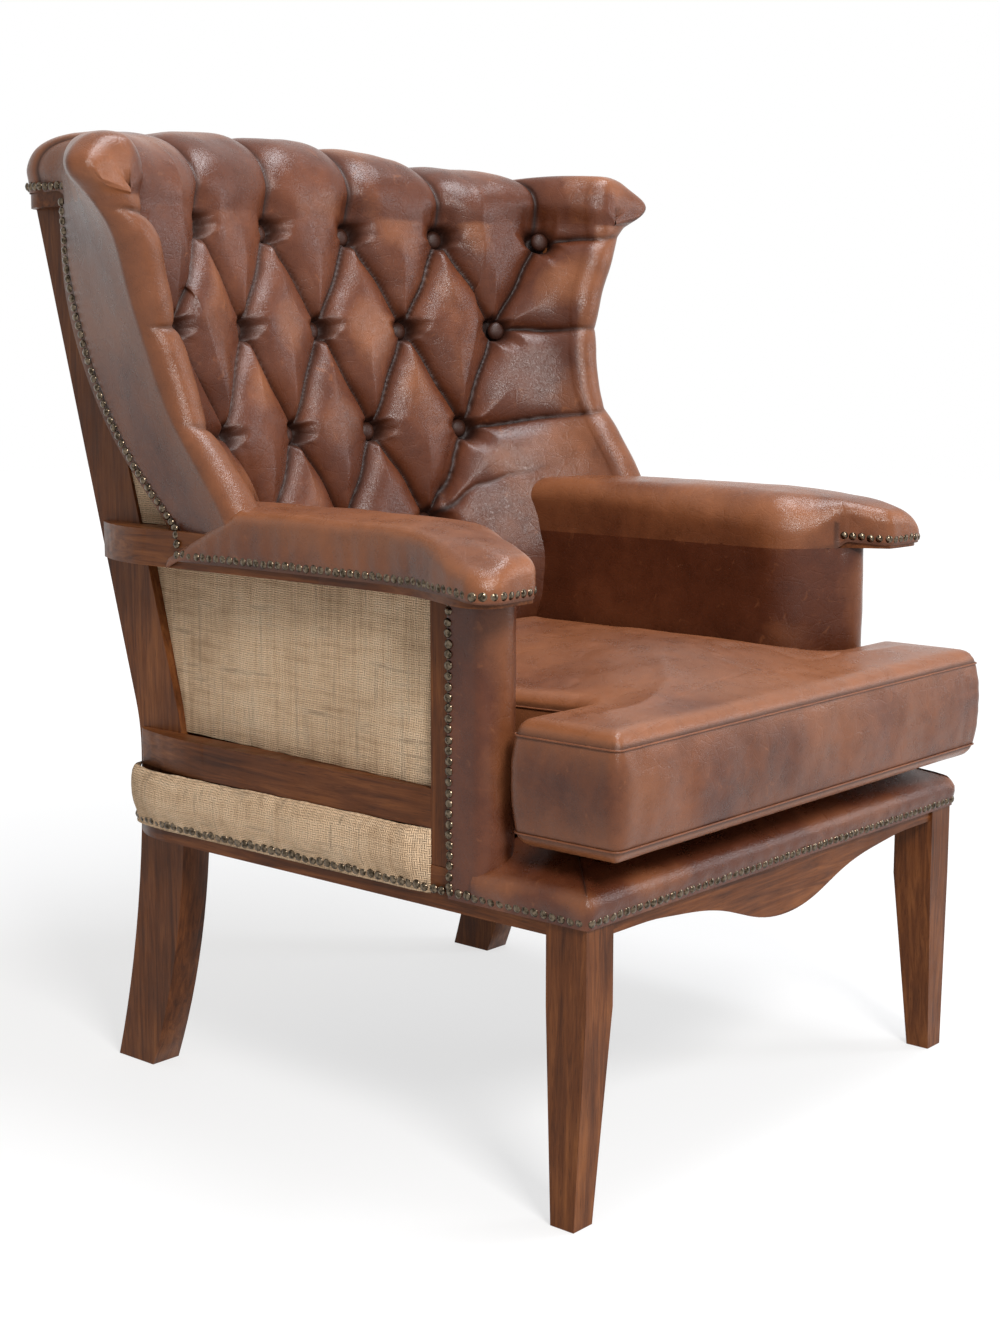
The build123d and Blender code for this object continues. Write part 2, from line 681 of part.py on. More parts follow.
def lower_section(share, side_share):
    """Plan of the back pad between the arms, at a level between the deck and the arm board."""
    low = deck_top + seat_gap
    z = low + (arm_board_top - low) * share
    edge = arm_face - seat_gap
    turn = Vector(wing_turn_low, back_y(z) - hollow(wing_turn_low), z)
    side = Vector(edge, turn.Y - lower_side_drop * side_share, z)
    rear_y = post_rear(z) - back_depth if z > post_waist_z + bend_rise else rear_rail_y[0] - seat_gap
    rear = Vector(edge, rear_y, z)
    front = ThreePointArc(Vector(-turn.X, turn.Y, z), Vector(0, back_y(z), z), turn)
    right = [Polyline(turn, side, rear)]
    left = [line.mirror(Plane.YZ) for line in right]
    return make_face(Curve() + [front, *right, Line(rear, Vector(-rear.X, rear.Y, z)), *left])


def button_place(x, z):
    return Vector(x, back_y(z) - hollow(x) + tuft_depth, z)


def facing(x):
    """Direction that the back pad faces at a distance from the middle."""
    return Vector(-x / sqrt(back_hollow * back_hollow - x * x), -1, back_slope).normalized()


def row_places(row):
    """Buttons of a row, counted from the left. Each row down has one fewer."""
    z, count = button_rows[row]
    return [(button_pitch * (i - (count - 1) / 2), z) for i in range(count)]


def fold(start, end, out):
    """Cutter for one fold of the leather: two round flanks that meet in a crease."""
    along = (end - start).normalized()
    side = out.cross(along).normalized()
    plane = Plane(origin=start, x_dir=side, z_dir=along)
    radius = (tuft_width * tuft_width + tuft_depth * tuft_depth) / (tuft_depth + tuft_depth)
    low_angle = atan2(radius - tuft_depth, -tuft_width)
    middle = (low_angle + pi / 2) / 2
    flank = (tuft_width + radius * cos(middle), tuft_depth - radius + radius * sin(middle))
    top = tuft_depth + cut_over
    outline = Curve() + [
        ThreePointArc((0, 0), flank, (tuft_width, tuft_depth)),
        Polyline((tuft_width, tuft_depth), (tuft_width, top), (-tuft_width, top), (-tuft_width, tuft_depth)),
        ThreePointArc((-tuft_width, tuft_depth), (-flank[0], flank[1]), (0, 0))]
    return extrude(plane * make_face(outline), (end - start).length)


def folds():
    """Folds between the buttons, up from the top row, down from the last, and out over the wings."""
    lines = []
    half = button_pitch / 2
    for row in range(len(button_rows) - 1):
        upper = row_places(row)
        for i, (x, z) in enumerate(row_places(row + 1)):
            lines += [((x, z), upper[i]), ((x, z), upper[i + 1])]
    lines += [((x, z), (x + step, tuft_foot)) for x, z in row_places(-1) for step in (-half, half)]
    return lines


def wing_folds():
    """Folds from the last button of a row, across the inside of the wing and over its roll."""
    cutters = []
    for row in range(len(button_rows) - 1):
        start = button_place(*row_places(row)[-1])
        share = (start.Z - arm_board_top) / (crest_foot - arm_board_top)
        z, roll, radius, rear, turn, sag_share = wing_level(share)
        shoulder = around(roll, radius, roll_start_angle)
        shoulder += (roll - shoulder) * wing_fold_share
        run = (shoulder - start).normalized()
        cutter = fold(start, shoulder + run * radius * wing_fold_over_share, Vector(run.Y, -run.X, 0))
        cutters += [cutter, mirrored(cutter)]
    return cutters


def head_folds():
    """Folds that run up from the top row and fade out over the crest roll."""
    cutters = []
    for x, z in row_places(0):
        foot = button_place(x, z)
        head = button_place(x, crest_foot + tuft_head_rise) + facing(x) * tuft_depth * (1 - tuft_head_share)
        cutters.append(fold(foot, head, facing(x)))
    return cutters


def inside_back():
    """Deep-buttoned back pad and wings, in one piece."""
    upper = loft([wing_section(share) for share in wing_level_shares])
    lower = loft([lower_section(*pair) for pair in zip(lower_level_shares, lower_side_shares)])
    post_room = plate(Polyline(
        (post_front(frame_top) - seat_gap, frame_top), (post_rear(frame_top), frame_top),
        (post_rear(crest_top), crest_top), (post_front(crest_top) - seat_gap, crest_top), close=True),
        post_in - seat_gap, rail_in + seat_gap, Plane.YZ)
    rail_room = block((-post_in, post_in), (rear_rail_y[0] - seat_gap, rear_rail_y[1] + cut_over),
                      (frame_foot, lower_rail_top + seat_gap))
    arm_room = plate(seam_profile(seat_gap), arm_face - seat_gap, frame_half + paddle_flare, Plane.YZ)
    for room in (post_room, arm_room, wing_cloth(seat_gap), wing_slot()):
        upper = upper - room - mirrored(room)
    pad = upper + (lower - rail_room)
    cutters = wing_folds() + head_folds()
    for (x0, z0), (x1, z1) in folds():
        out = (facing(x0) + facing(x1)).normalized()
        cutters.append(fold(button_place(x0, z0), button_place(x1, z1), out))
    pockets = [rod(button_place(*place) + facing(place[0]) * button_thick, -facing(place[0]),
                   button_radius + seat_gap, button_thick + button_pocket) for place in all_buttons()]
    return pad - cutters - pockets


def all_buttons():
    return [place for row in range(len(button_rows)) for place in row_places(row)]


def back_buttons():
    """Covered buttons: a disc with a domed face, each seated at the bottom of its tuft."""
    flat = button_thick / 2
    dome = (button_radius * button_radius + flat * flat) / (flat + flat)
    buttons = []
    for x, z in all_buttons():
        seat = button_place(x, z) - facing(x) * (button_pocket - seat_gap)
        plane = Plane(origin=seat, z_dir=facing(x))
        disc = extrude(plane * Circle(button_radius), button_thick)
        ball = Pos(*(seat + facing(x) * (button_thick - dome))) * Sphere(dome)
        buttons.append(disc & ball)
    return Compound(children=buttons)


def crest_outline(grow):
    half = crest_half + grow
    rear = crest_rear + grow
    return FilletPolyline(
        (half, crest_front), (half, rear - crest_bow), (0, rear), (-half, rear - crest_bow), (-half, crest_front),
        radius=[0, crest_corner + grow, back_hollow, crest_corner + grow, 0], close=True)


def crest_rail():
    rail = plate(crest_outline(0), crest_foot, crest_board_top)
    return rail - crest_mortise - mirrored(crest_mortise)


def crest_section(inner, outer, rise, lean):
    """Upright section of the crest roll between a point on its front line and one on its rear line."""
    wide = (outer - inner).length
    plane = Plane(origin=inner, x_dir=(outer - inner).normalized(), z_dir=(outer - inner).cross(Vector(0, 0, 1)))
    front_round = wide * crest_front_share if wide < rise + rise else rise * crest_front_share
    rear_round = front_round * crest_rear_share
    turn = 1 - 1 / sqrt(2)
    rear = wide + lean
    return plane * make_face(Curve() + [
        Line((0, 0), (0, rise - front_round)),
        ThreePointArc((0, rise - front_round), (front_round * turn, rise - front_round * turn),
                      (front_round, rise)),
        Line((front_round, rise), (rear - rear_round, rise)),
        ThreePointArc((rear - rear_round, rise), (rear - rear_round * turn, rise - rear_round * turn),
                      (rear, rise - rear_round)),
        Line((rear, rise - rear_round), (wide, 0)), Line((wide, 0), (0, 0))])


def crest_roll():
    """Stuffed roll over the crest rail, carried forward along the tops of the wings."""
    foot = crest_foot + seat_gap
    high = crest_top - foot
    z, roll, radius, rear, turn, sag_share = wing_level(1)
    rear_y = crest_rear + crest_overhang
    side = crest_half + leather
    inner = [Vector(turn.X * along, back_y(z) - hollow(turn.X * along), foot) for along in crest_middle_shares]
    inner += [wing_side(1, along) for along in crest_side_shares]
    inner += [around(roll, radius, angle) for angle in crest_inner_angles]
    inner = [Vector(p.X, p.Y, foot) for p in inner]
    end = around(roll, radius, crest_outer_angles[0])
    outer = [Vector(side * along, rear_y, foot) for along in crest_rear_shares]
    outer += [Vector(side, crest_rear - crest_corner * drop, foot) for drop in crest_corner_shares]
    outer += [Vector(side + (end.X - side) * along, crest_front + (end.Y - crest_front) * along, foot)
              for along in crest_outer_shares]
    outer += [around(roll, radius, angle) for angle in crest_outer_angles]
    outer = [Vector(p.X, p.Y, foot) for p in outer]
    sections = [crest_section(a, b, high * rise, crest_lean * lean)
                for a, b, rise, lean in zip(inner, outer, crest_rise_shares, crest_lean_shares)]
    half = loft(sections, ruled=True)
    rail = plate(crest_outline(seat_gap), crest_foot, crest_board_top + seat_gap)
    below = block((0, frame_half + leg_wide), (crest_front + tenon_shoulder, crest_rear + crest_thick),
                  (crest_foot, crest_foot + crest_skirt))
    half -= [rail, below]
    whole = half + mirrored(half)
    return whole - head_folds()


def side_seat_hessian():
    """Cloth over the side of the seat, bulging between the seat rail and the lower arm rail."""
    start = arm_post_rear + seat_gap
    end = post_waist_y + hessian
    high = lower_rail_foot - skirt_foot
    puff = loft([Plane.XY.offset(skirt_foot + high * up) * lap_face(
        start, end, frame_half + hessian + hessian_puff * out, rail_end_inset + hessian, side_rail_turn,
        lower_rail_nose / 2)
        for up, out in hessian_puff_shares])
    web_room = block((0, rail_in + web_lap + cloth_gap), (start, end), (frame_foot, pad_foot))
    return puff - side_board() - web_room


def wing_cloth(gap):
    """Cloth in the gap between the wing board and the post, above the arm, or the room for it."""
    front = []
    for share in wing_level_shares:
        z, roll, radius, rear, turn, sag_share = wing_level(share)
        if rear > post_front(z):
            break
        front.append((rear + slot_gap - gap, z))
    low = (post_front(arm_board_top) - seat_gap + gap, arm_board_top + seat_gap - gap)
    high = (post_front(front[-1][1]) - seat_gap + gap, front[-1][1] + gap)
    front[0] = (front[0][0], low[1])
    inner = rail_in - hessian - hessian
    return plate(Polyline(*front, high, low, close=True), inner - gap, inner + hessian + gap * 3, Plane.YZ)


def wing_hessian():
    return wing_cloth(0)


def outside_back_hessian():
    """Cloth across the rear, between the posts, from the lower back rail up to the crest."""
    foot = lower_rail_top + seat_gap
    top = crest_foot - seat_gap
    bend = post_waist_z + bend_rise
    line = [(post_waist_y, foot), (post_rear(bend), bend), (post_rear(top), top)]
    near = [(y - rear_rail_inset, z) for y, z in line]
    far = [(y - hessian, z) for y, z in reversed(near)]
    return plate(Polyline(*near, *far, close=True), seat_gap - post_in, post_in - seat_gap, Plane.YZ)


def rear_seat_hessian():
    return block((seat_gap - post_in, post_in - seat_gap), (rear_rail_y[1], rear_rail_y[1] + hessian),
                 (nail_z, lower_rail_foot + tenon_thick))


def platform_front():
    """Stuffed front of the seat platform, its leather turned down over the rails and the tops of the legs."""
    skin = frame_half + leather
    rear = stump_front + stump_cheek
    lip = block((-skin, skin), (-leather, rear), (skirt_foot, deck_top))
    edges = [e for e in lip.edges().filter_by(Axis.Y) if e.center().Z > nail_z + lip_round]
    edges += [e for e in lip.edges().filter_by(Axis.X) if e.center().Z > nail_z + lip_round and e.center().Y < 0]
    lip = fillet(edges, lip_round)
    below = (frame_foot, frame_top)
    lip -= block((-leg_in, leg_in), (apron_back, frame_half), below)
    lip -= block((leg_in, frame_half), (0, frame_half), below)
    lip -= block((-frame_half, -leg_in), (0, frame_half), below)
    web_half = arm_face - tenon_long
    lip -= block((-web_half, web_half), (apron_back, frame_half), (frame_top, pad_foot))
    lip -= block((-rail_in, rail_in), (apron_back + rail_thick, frame_half), (frame_top, pad_foot))
    stump = plate(stump_outline(seat_gap), skirt_foot - cut_over, deck_top + cut_over)
    post = block((rail_in - seat_gap, skin + cut_over), (arm_post_front - seat_gap, rear + cut_over),
                 (skirt_foot - cut_over, deck_top + cut_over))
    skirt = block((frame_half - seat_gap, skin + cut_over), (stump_front + stump_shoulder - seat_gap, rear),
                  (skirt_foot - cut_over, pad_foot))
    for room in (stump, post, skirt):
        lip -= room
        lip -= mirrored(room)
    return lip


def seat_deck():
    edge = arm_face - seat_gap
    front = stump_front + stump_cheek + seat_gap
    return block((-edge, edge), (front, rear_rail_y[0] - seat_gap), (pad_foot, deck_top))


def cushion_outline(inset):
    """Plan of the seat cushion: a T whose ears pass in front of the arms, less an inset all round."""
    right = [(cushion_half - inset, cushion_front + inset), (cushion_half - inset, cushion_ear_rear - inset),
             (cushion_neck - inset, cushion_ear_rear - inset), (cushion_body - inset, cushion_body_start),
             (cushion_body - inset, cushion_corner_y - inset)]
    points = right + [(0, cushion_rear - inset)] + [(-x, y) for x, y in reversed(right)]
    radii = [cushion_corner, cushion_ear_corner, cushion_notch, cushion_body_start / 4, cushion_rear_corner]
    radii = radii + [cushion_rear_bow] + radii[::-1]
    return make_face(FilletPolyline(*points, radius=radii, close=True))


def cushion_levels(levels):
    return loft([Plane.XY.offset(z) * cushion_outline(inset) for z, inset in levels])


def seat_cushion():
    """Loose T cushion: a bulging band between two seams, rolled edges and a crowned top."""
    low = deck_top + seat_gap
    height = cushion_seam_high - cushion_seam_low
    band = [(cushion_seam_low + height * up, cushion_bulge * (1 - out)) for up, out in cushion_band_shares]
    drop = cushion_seam_low - low
    under = [(cushion_seam_low - drop * down, cushion_bulge + cushion_under * into)
             for down, into in cushion_edge_shares]
    over = [(cushion_seam_high + cushion_edge_rise * up, cushion_bulge + cushion_edge_inset * into)
            for up, into in cushion_edge_shares]
    cushion = cushion_levels(band) + cushion_levels(over) + cushion_levels(under)
    rim = cushion_seam_high + cushion_edge_rise
    wide = cushion_body - cushion_bulge - cushion_edge_inset
    front = cushion_front + cushion_bulge + cushion_edge_inset
    deep = cushion_rear - cushion_rear_corner - cushion_edge_inset - front
    crown = []
    for up, size in cushion_crown_shares:
        plan = RectangleRounded(wide * size + wide * size, deep * size, cushion_neck / 2 * size)
        z = rim - leather + (cushion_crown - cushion_edge_rise + leather) * up
        crown.append(Pos(0, front + deep / 2, z) * plan)
    return cushion + loft(crown)


def seat_web_x():
    reach = arm_face - tenon_long - web_wide / 2 - seat_gap
    return [-reach + (reach + reach) * i / (seat_web_columns - 1) for i in range(seat_web_columns)]


def webbing_lengthwise():
    """Strips from the front rail to the rear rail, tacked on top of both."""
    z = frame_top + cloth_gap
    return Compound(children=[
        block((x - web_wide / 2, x + web_wide / 2), (apron_back + cloth_gap, rear_rail_y[1]), (z, z + web_thick))
        for x in seat_web_x()])


def webbing_crosswise():
    """Strips from side rail to side rail, over the lengthwise ones."""
    z = frame_top + cloth_gap + web_thick + cloth_gap
    front = arm_post_rear + web_wide
    step = (post_waist_y - post_deep - web_wide - front) / (seat_web_rows - 1)
    edge = rail_in - cloth_gap
    return Compound(children=[
        block((-edge - web_lap, edge + web_lap), (front + step * i - web_wide / 2, front + step * i + web_wide / 2),
              (z, z + web_thick))
        for i in range(seat_web_rows)])


def raked_strip(x, foot, top, rear):
    """Flat strip that follows the rake of the posts, with its rear face at a distance from their rear edge."""
    line = [(post_rear(z) - rear, z) for z in (foot, top)]
    far = [(y - web_thick, z) for y, z in reversed(line)]
    return plate(Polyline(*line, *far, close=True), x[0], x[1], Plane.YZ)


def back_webbing():
    """Upright strips behind the back pad, from the lower back rail to the crest rail, and strips across."""
    strips = []
    edge = post_in - cloth_gap
    reach = edge - web_wide
    rear = back_depth - web_thick - web_thick - cloth_gap - leather
    foot = post_waist_z + bend_rise + web_wide
    for i in range(back_web_columns):
        x = -reach + (reach + reach) * i / (back_web_columns - 1)
        strips.append(raked_strip((x - web_wide / 2, x + web_wide / 2), lower_rail_top + seat_gap,
                                  crest_foot - seat_gap, rear + web_thick + cloth_gap))
    step = (crest_foot - web_wide - foot) / (back_web_rows - 1)
    for i in range(back_web_rows):
        z = foot + step * i
        strips.append(raked_strip((-edge, edge), z - web_wide / 2, z + web_wide / 2, rear))
    return Compound(children=strips)


def dust_cover():
    """Black cloth under the seat, cut round the legs and posts."""
    edge = frame_half - leather
    front = apron_back + rail_thick + seat_gap
    leg = leg_in - seat_gap
    post = post_in - seat_gap
    step = post_waist_y - post_deep - seat_gap
    right = [(leg, front), (leg, leg_deep + seat_gap), (edge, leg_deep + seat_gap), (edge, step), (post, step),
             (post, rear_rail_y[1])]
    outline = Polyline(*right, *[(-x, y) for x, y in reversed(right)], close=True)
    return plate(outline, frame_foot - seat_gap - dust_cover_thick, frame_foot - seat_gap)


def corner_blocks():
    """Glue blocks in the four corners of the seat frame."""
    top = frame_top - block_drop
    rear_of_rail = apron_back + rail_thick
    front = plate(Polyline(
        (leg_in - block_reach, rear_of_rail), (leg_in, rear_of_rail), (leg_in, leg_deep), (rail_in, leg_deep),
        (rail_in, leg_deep + block_reach), close=True), top - block_height, top)
    rear = plate(Polyline(
        (post_in - block_reach, rear_rail_y[0]), (post_in, rear_rail_y[0]), (post_in, rear_rail_y[0] - block_reach),
        close=True), top - block_height, top)
    blocks = [front - front_screw_hole, rear - rear_screw_hole]
    return Compound(children=blocks + [mirrored(b) for b in blocks])


def corner_block_screws():
    screws = [front_screw, rear_screw]
    return Compound(children=screws + [mirrored(s) for s in screws])


def lap_dowels():
    """Dowels that hold the side rails, lower arm rails and arms to the outer faces of the posts."""
    dowels = [dowel(y, z, 0) for y, z in dowel_places()]
    return Compound(children=dowels + [mirrored(d) for d in dowels])


sides = {
    "front_leg": front_leg, "back_post": back_post, "side_seat_rail": side_seat_rail,
    "lower_arm_rail": lower_arm_rail, "arm_post": arm_post, "arm_rail": arm_rail, "wing_frame": wing_frame,
    "arm_pad": arm_pad, "inside_arm": inside_arm, "outside_arm_hessian": outside_arm_hessian,
    "side_seat_hessian": side_seat_hessian, "wing_hessian": wing_hessian,
}
singles = {
    "front_seat_rail": front_seat_rail, "rear_seat_rail": rear_seat_rail, "lower_back_rail": lower_back_rail,
    "crest_rail": crest_rail, "corner_blocks": corner_blocks, "corner_block_screws": corner_block_screws,
    "lap_dowels": lap_dowels, "webbing_lengthwise": webbing_lengthwise, "webbing_crosswise": webbing_crosswise,
    "back_webbing": back_webbing, "dust_cover": dust_cover, "platform_front": platform_front,
    "seat_deck": seat_deck, "seat_cushion": seat_cushion, "inside_back": inside_back,
    "crest_roll": crest_roll, "back_buttons": back_buttons, "outside_back_hessian": outside_back_hessian,
    "rear_seat_hessian": rear_seat_hessian,
}
nodes = {name: make() for name, make in singles.items()}
for name, make in sides.items():
    right = make()
    nodes[name + "_right"] = right
    nodes[name + "_left"] = mirrored(right)

# The origin is on the floor, under the middle of the whole chair.
middle_y = (cushion_front + crest_rear + crest_overhang) / 2
os.makedirs("parts", exist_ok=True)
for name, piece in nodes.items():
    export_step(Pos(0, -middle_y, 0) * piece, "parts/" + name + ".step")
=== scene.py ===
import math

import bmesh
import bpy
import numpy as np
from mathutils import Matrix, Vector


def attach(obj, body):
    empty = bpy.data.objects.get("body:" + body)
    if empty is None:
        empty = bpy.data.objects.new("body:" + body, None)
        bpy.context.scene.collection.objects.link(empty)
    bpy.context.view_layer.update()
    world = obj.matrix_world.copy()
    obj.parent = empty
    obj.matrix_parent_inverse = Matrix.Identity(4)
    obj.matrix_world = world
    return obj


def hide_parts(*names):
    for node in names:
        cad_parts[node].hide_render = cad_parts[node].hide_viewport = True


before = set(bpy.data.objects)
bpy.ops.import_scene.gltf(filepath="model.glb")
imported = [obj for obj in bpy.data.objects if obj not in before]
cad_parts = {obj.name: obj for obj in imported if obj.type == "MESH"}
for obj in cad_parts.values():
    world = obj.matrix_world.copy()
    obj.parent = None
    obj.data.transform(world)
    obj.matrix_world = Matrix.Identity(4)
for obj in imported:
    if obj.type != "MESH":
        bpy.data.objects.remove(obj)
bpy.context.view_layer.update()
rng = np.random.default_rng(7)

# Shapes are worked out in millimetres, with y from the front face of the seat frame, and moved to the
# row frame by row(). A sign is -1 on the left and 1 on the right of someone who looks at the chair.
MID_Y = 403.0  # place of the row frame's origin
SKIN = 340.0  # outer face of the leather on the seat frame
DECK = 350.0  # foot of the back, on the seat platform
ARM_FOOT = 583.0  # underside of the arm board
ARM_TOP = 622.0  # top of the arm board
CREST = 965.0  # underside of the crest rail
BEND_TOP = 423.4  # where a back post has its full rake
POST_SLOPE = 0.2773
BACK_SLOPE = math.tan(math.radians(10))
PROUD = 2.5  # leather above the wood at its edge
NAIL_Z = 298.3  # nails round the seat frame
ARM_NAIL_Z = 598.0  # nails round the arm boards
METRE = 0.001
SIDES = {-1: "_left", 1: "_right"}


def row(p):
    p = np.asarray(p, float).copy()
    p[..., 1] -= MID_Y
    return p * METRE


def unit(v):
    v = np.asarray(v, float)
    return v / np.maximum(np.linalg.norm(v, axis=-1, keepdims=True), 1e-9)


def smooth(x, a, b):
    t = np.clip((np.asarray(x, float) - a) / (b - a), 0, 1)
    return t * t * (3 - 2 * t)


def beside(t):
    """Directions to the right of directions seen from above."""
    return np.column_stack([t[:, 1], -t[:, 0]])


def raised(flat, z):
    """Points at places seen from above, at a height or heights."""
    shape = np.broadcast_shapes(flat.shape[:-1], np.shape(z))
    return np.concatenate([np.broadcast_to(flat, (*shape, 2)), np.broadcast_to(z, shape)[..., None]], -1)


def bell(x, width):
    return np.exp(-(x / width) ** 2)


def lengths(p):
    """Distance along a line of points, from 0 at its first."""
    return np.concatenate([[0], np.cumsum(np.linalg.norm(np.diff(p, axis=0), axis=1))])


def eased(v, reach, mode="edge"):
    """Numbers smoothed over their neighbours on both sides."""
    kern = np.hanning(2 * reach + 1)
    return np.convolve(np.pad(v, reach, mode=mode), kern / kern.sum(), mode="valid")


def resample(path, count=None, step=None, closed=False):
    """Points at even distances along a line."""
    path = np.asarray(path, float)
    if closed:
        path = np.vstack([path, path[:1]])
    d = lengths(path)
    s = np.linspace(0, d[-1], count or max(2, int(round(d[-1] / step)) + 1), endpoint=not closed)
    return np.stack([np.interp(s, d, path[:, k]) for k in range(path.shape[1])], -1)


def rounded(points, radii, closed=True):
    """Points along a polygon, or an open line, whose corners are rounded."""
    out = []
    n = len(points)
    for i in range(n):
        if not closed and i in (0, n - 1):
            out.append(np.array(points[i], float))
            continue
        a, b, c = (np.array(points[j % n], float) for j in (i - 1, i, i + 1))
        u, w = unit(a - b), unit(c - b)
        half = math.acos(float(np.clip(np.dot(u, w), -1, 1))) / 2
        r = radii[i]
        cut = r / math.tan(half)
        start, end = b + u * cut, b + w * cut
        centre = b + unit(u + w) * (r / math.sin(half))
        a0 = math.atan2(*(start - centre)[::-1])
        a1 = math.atan2(*(end - centre)[::-1])
        turn = (a1 - a0 + math.pi) % (2 * math.pi) - math.pi
        for t in np.linspace(0, 1, max(6, int(abs(turn) * r / 3.0))):
            out.append(centre + r * np.array([math.cos(a0 + turn * t), math.sin(a0 + turn * t)]))
    return np.array(out)


class Curve:
    """Natural cubic through a table."""

    def __init__(self, xs, ys):
        self.x, self.y = np.array(xs, float), np.array(ys, float)
        n = len(xs)
        h = np.diff(self.x)
        a = np.eye(n)
        b = np.zeros(n)
        for i in range(1, n - 1):
            a[i, i - 1:i + 2] = h[i - 1], 2 * (h[i - 1] + h[i]), h[i]
            b[i] = 6 * ((self.y[i + 1] - self.y[i]) / h[i] - (self.y[i] - self.y[i - 1]) / h[i - 1])
        self.m = np.linalg.solve(a, b)

    def __call__(self, q):
        q = np.clip(np.asarray(q, float), self.x[0], self.x[-1])
        i = np.clip(np.searchsorted(self.x, q) - 1, 0, len(self.x) - 2)
        h = self.x[i + 1] - self.x[i]
        a, b = (self.x[i + 1] - q) / h, (q - self.x[i]) / h
        return (a * self.y[i] + b * self.y[i + 1]
                + ((a ** 3 - a) * self.m[i] + (b ** 3 - b) * self.m[i + 1]) * h * h / 6)


CELLS = 32
LATTICE = rng.random((CELLS, CELLS, CELLS)) * 2 - 1


def noise(p, scale, shift=0.0):
    """Smooth noise from -1 to 1 at points in millimetres; scale is the size of its lumps."""
    q = np.asarray(p, float) / scale + shift + 2 * CELLS
    i = np.floor(q).astype(int)
    f = q - i
    f = f * f * (3 - 2 * f)
    out = np.zeros(q.shape[:-1])
    for d in np.ndindex(2, 2, 2):
        at = (i + np.array(d)) % CELLS
        out += np.prod(np.where(d, f, 1 - f), -1) * LATTICE[at[..., 0], at[..., 1], at[..., 2]]
    return out


# ---- meshes
def add_object(name, mesh, body):
    o = bpy.data.objects.new(name, mesh)
    bpy.context.scene.collection.objects.link(o)
    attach(o, body)
    return o


def mesh_object(name, verts, faces, mat, body="chair", slot=None, **shares):
    me = bpy.data.meshes.new(name)
    me.from_pydata([tuple(v) for v in row(verts)], [], [tuple(f) for f in faces])
    me.update()
    me.polygons.foreach_set("use_smooth", [True] * len(me.polygons))
    for key, values in shares.items():
        a = me.attributes.new(key, "FLOAT", "POINT")
        a.data.foreach_set("value", np.asarray(values, np.float32).ravel())
    me.materials.append(mat)
    return add_object(name, me, body)


def leather_object(name, parts, faces, fold, wear, body="chair", mat=None):
    """Leather from arrays of points. For each of them, how much painted fold shade it gets and how worn it
    is, from 0 to 1.
    """
    def spread(values):
        return np.concatenate([np.broadcast_to(v, np.shape(p)[:-1]).ravel() for p, v in zip(parts, values)])

    return mesh_object(name, np.concatenate([np.reshape(p, (-1, 3)) for p in parts]), faces, mat or LEATHER,
                       body, "brown_leather", fold=spread(fold), wear=np.clip(spread(wear), 0, 1))


def grid_faces(rows, cols, close=False, start=0, flip=False):
    r, c = np.meshgrid(np.arange(rows - 1), np.arange(cols if close else cols - 1), indexing="ij")
    a = r * cols + c
    b = r * cols + (c + 1) % cols
    quad = np.stack([a, b, b + cols, a + cols], -1).reshape(-1, 4) + start
    return quad[:, ::-1] if flip else quad


def grid_normals(p, at, toward):
    """Normals of a grid of points, turned so that the one at a place points toward a direction."""
    n = unit(np.cross(np.gradient(p, axis=1), np.gradient(p, axis=0)))
    return n if np.dot(n[at], toward) > 0 else -n


def edit(mesh, work):
    bm = bmesh.new()
    bm.from_mesh(mesh)
    work(bm)
    bm.to_mesh(mesh)
    bm.free()
    mesh.update()


def weld(o, distance):
    edit(o.data, lambda bm: bmesh.ops.remove_doubles(bm, verts=bm.verts, dist=distance))


def domes(places, rings, sides, shape):
    """Small domes. A place is a middle, the directions out, sideways and up, and a height. shape says how far
    from the middle and how high a point is, at an angle across; down is 1 at the rim."""
    verts, faces = [], []
    for place in places:
        c, out, side, up, height = place[:5]
        start = len(verts)
        verts.append(c + out * height)
        for i in range(1, rings + 1):
            for j in range(sides):
                b = 2 * math.pi * j / sides
                far, high = shape(place, b, i / rings)
                verts.append(c + side * far * math.cos(b) + up * far * math.sin(b) + out * high)
        for j in range(sides):
            k = (j + 1) % sides
            faces.append((start, start + 1 + k, start + 1 + j))
            for a in range(start + 1, start + 1 + (rings - 1) * sides, sides):
                faces.append((a + j, a + k, a + sides + k, a + sides + j))
    return np.array(verts), faces


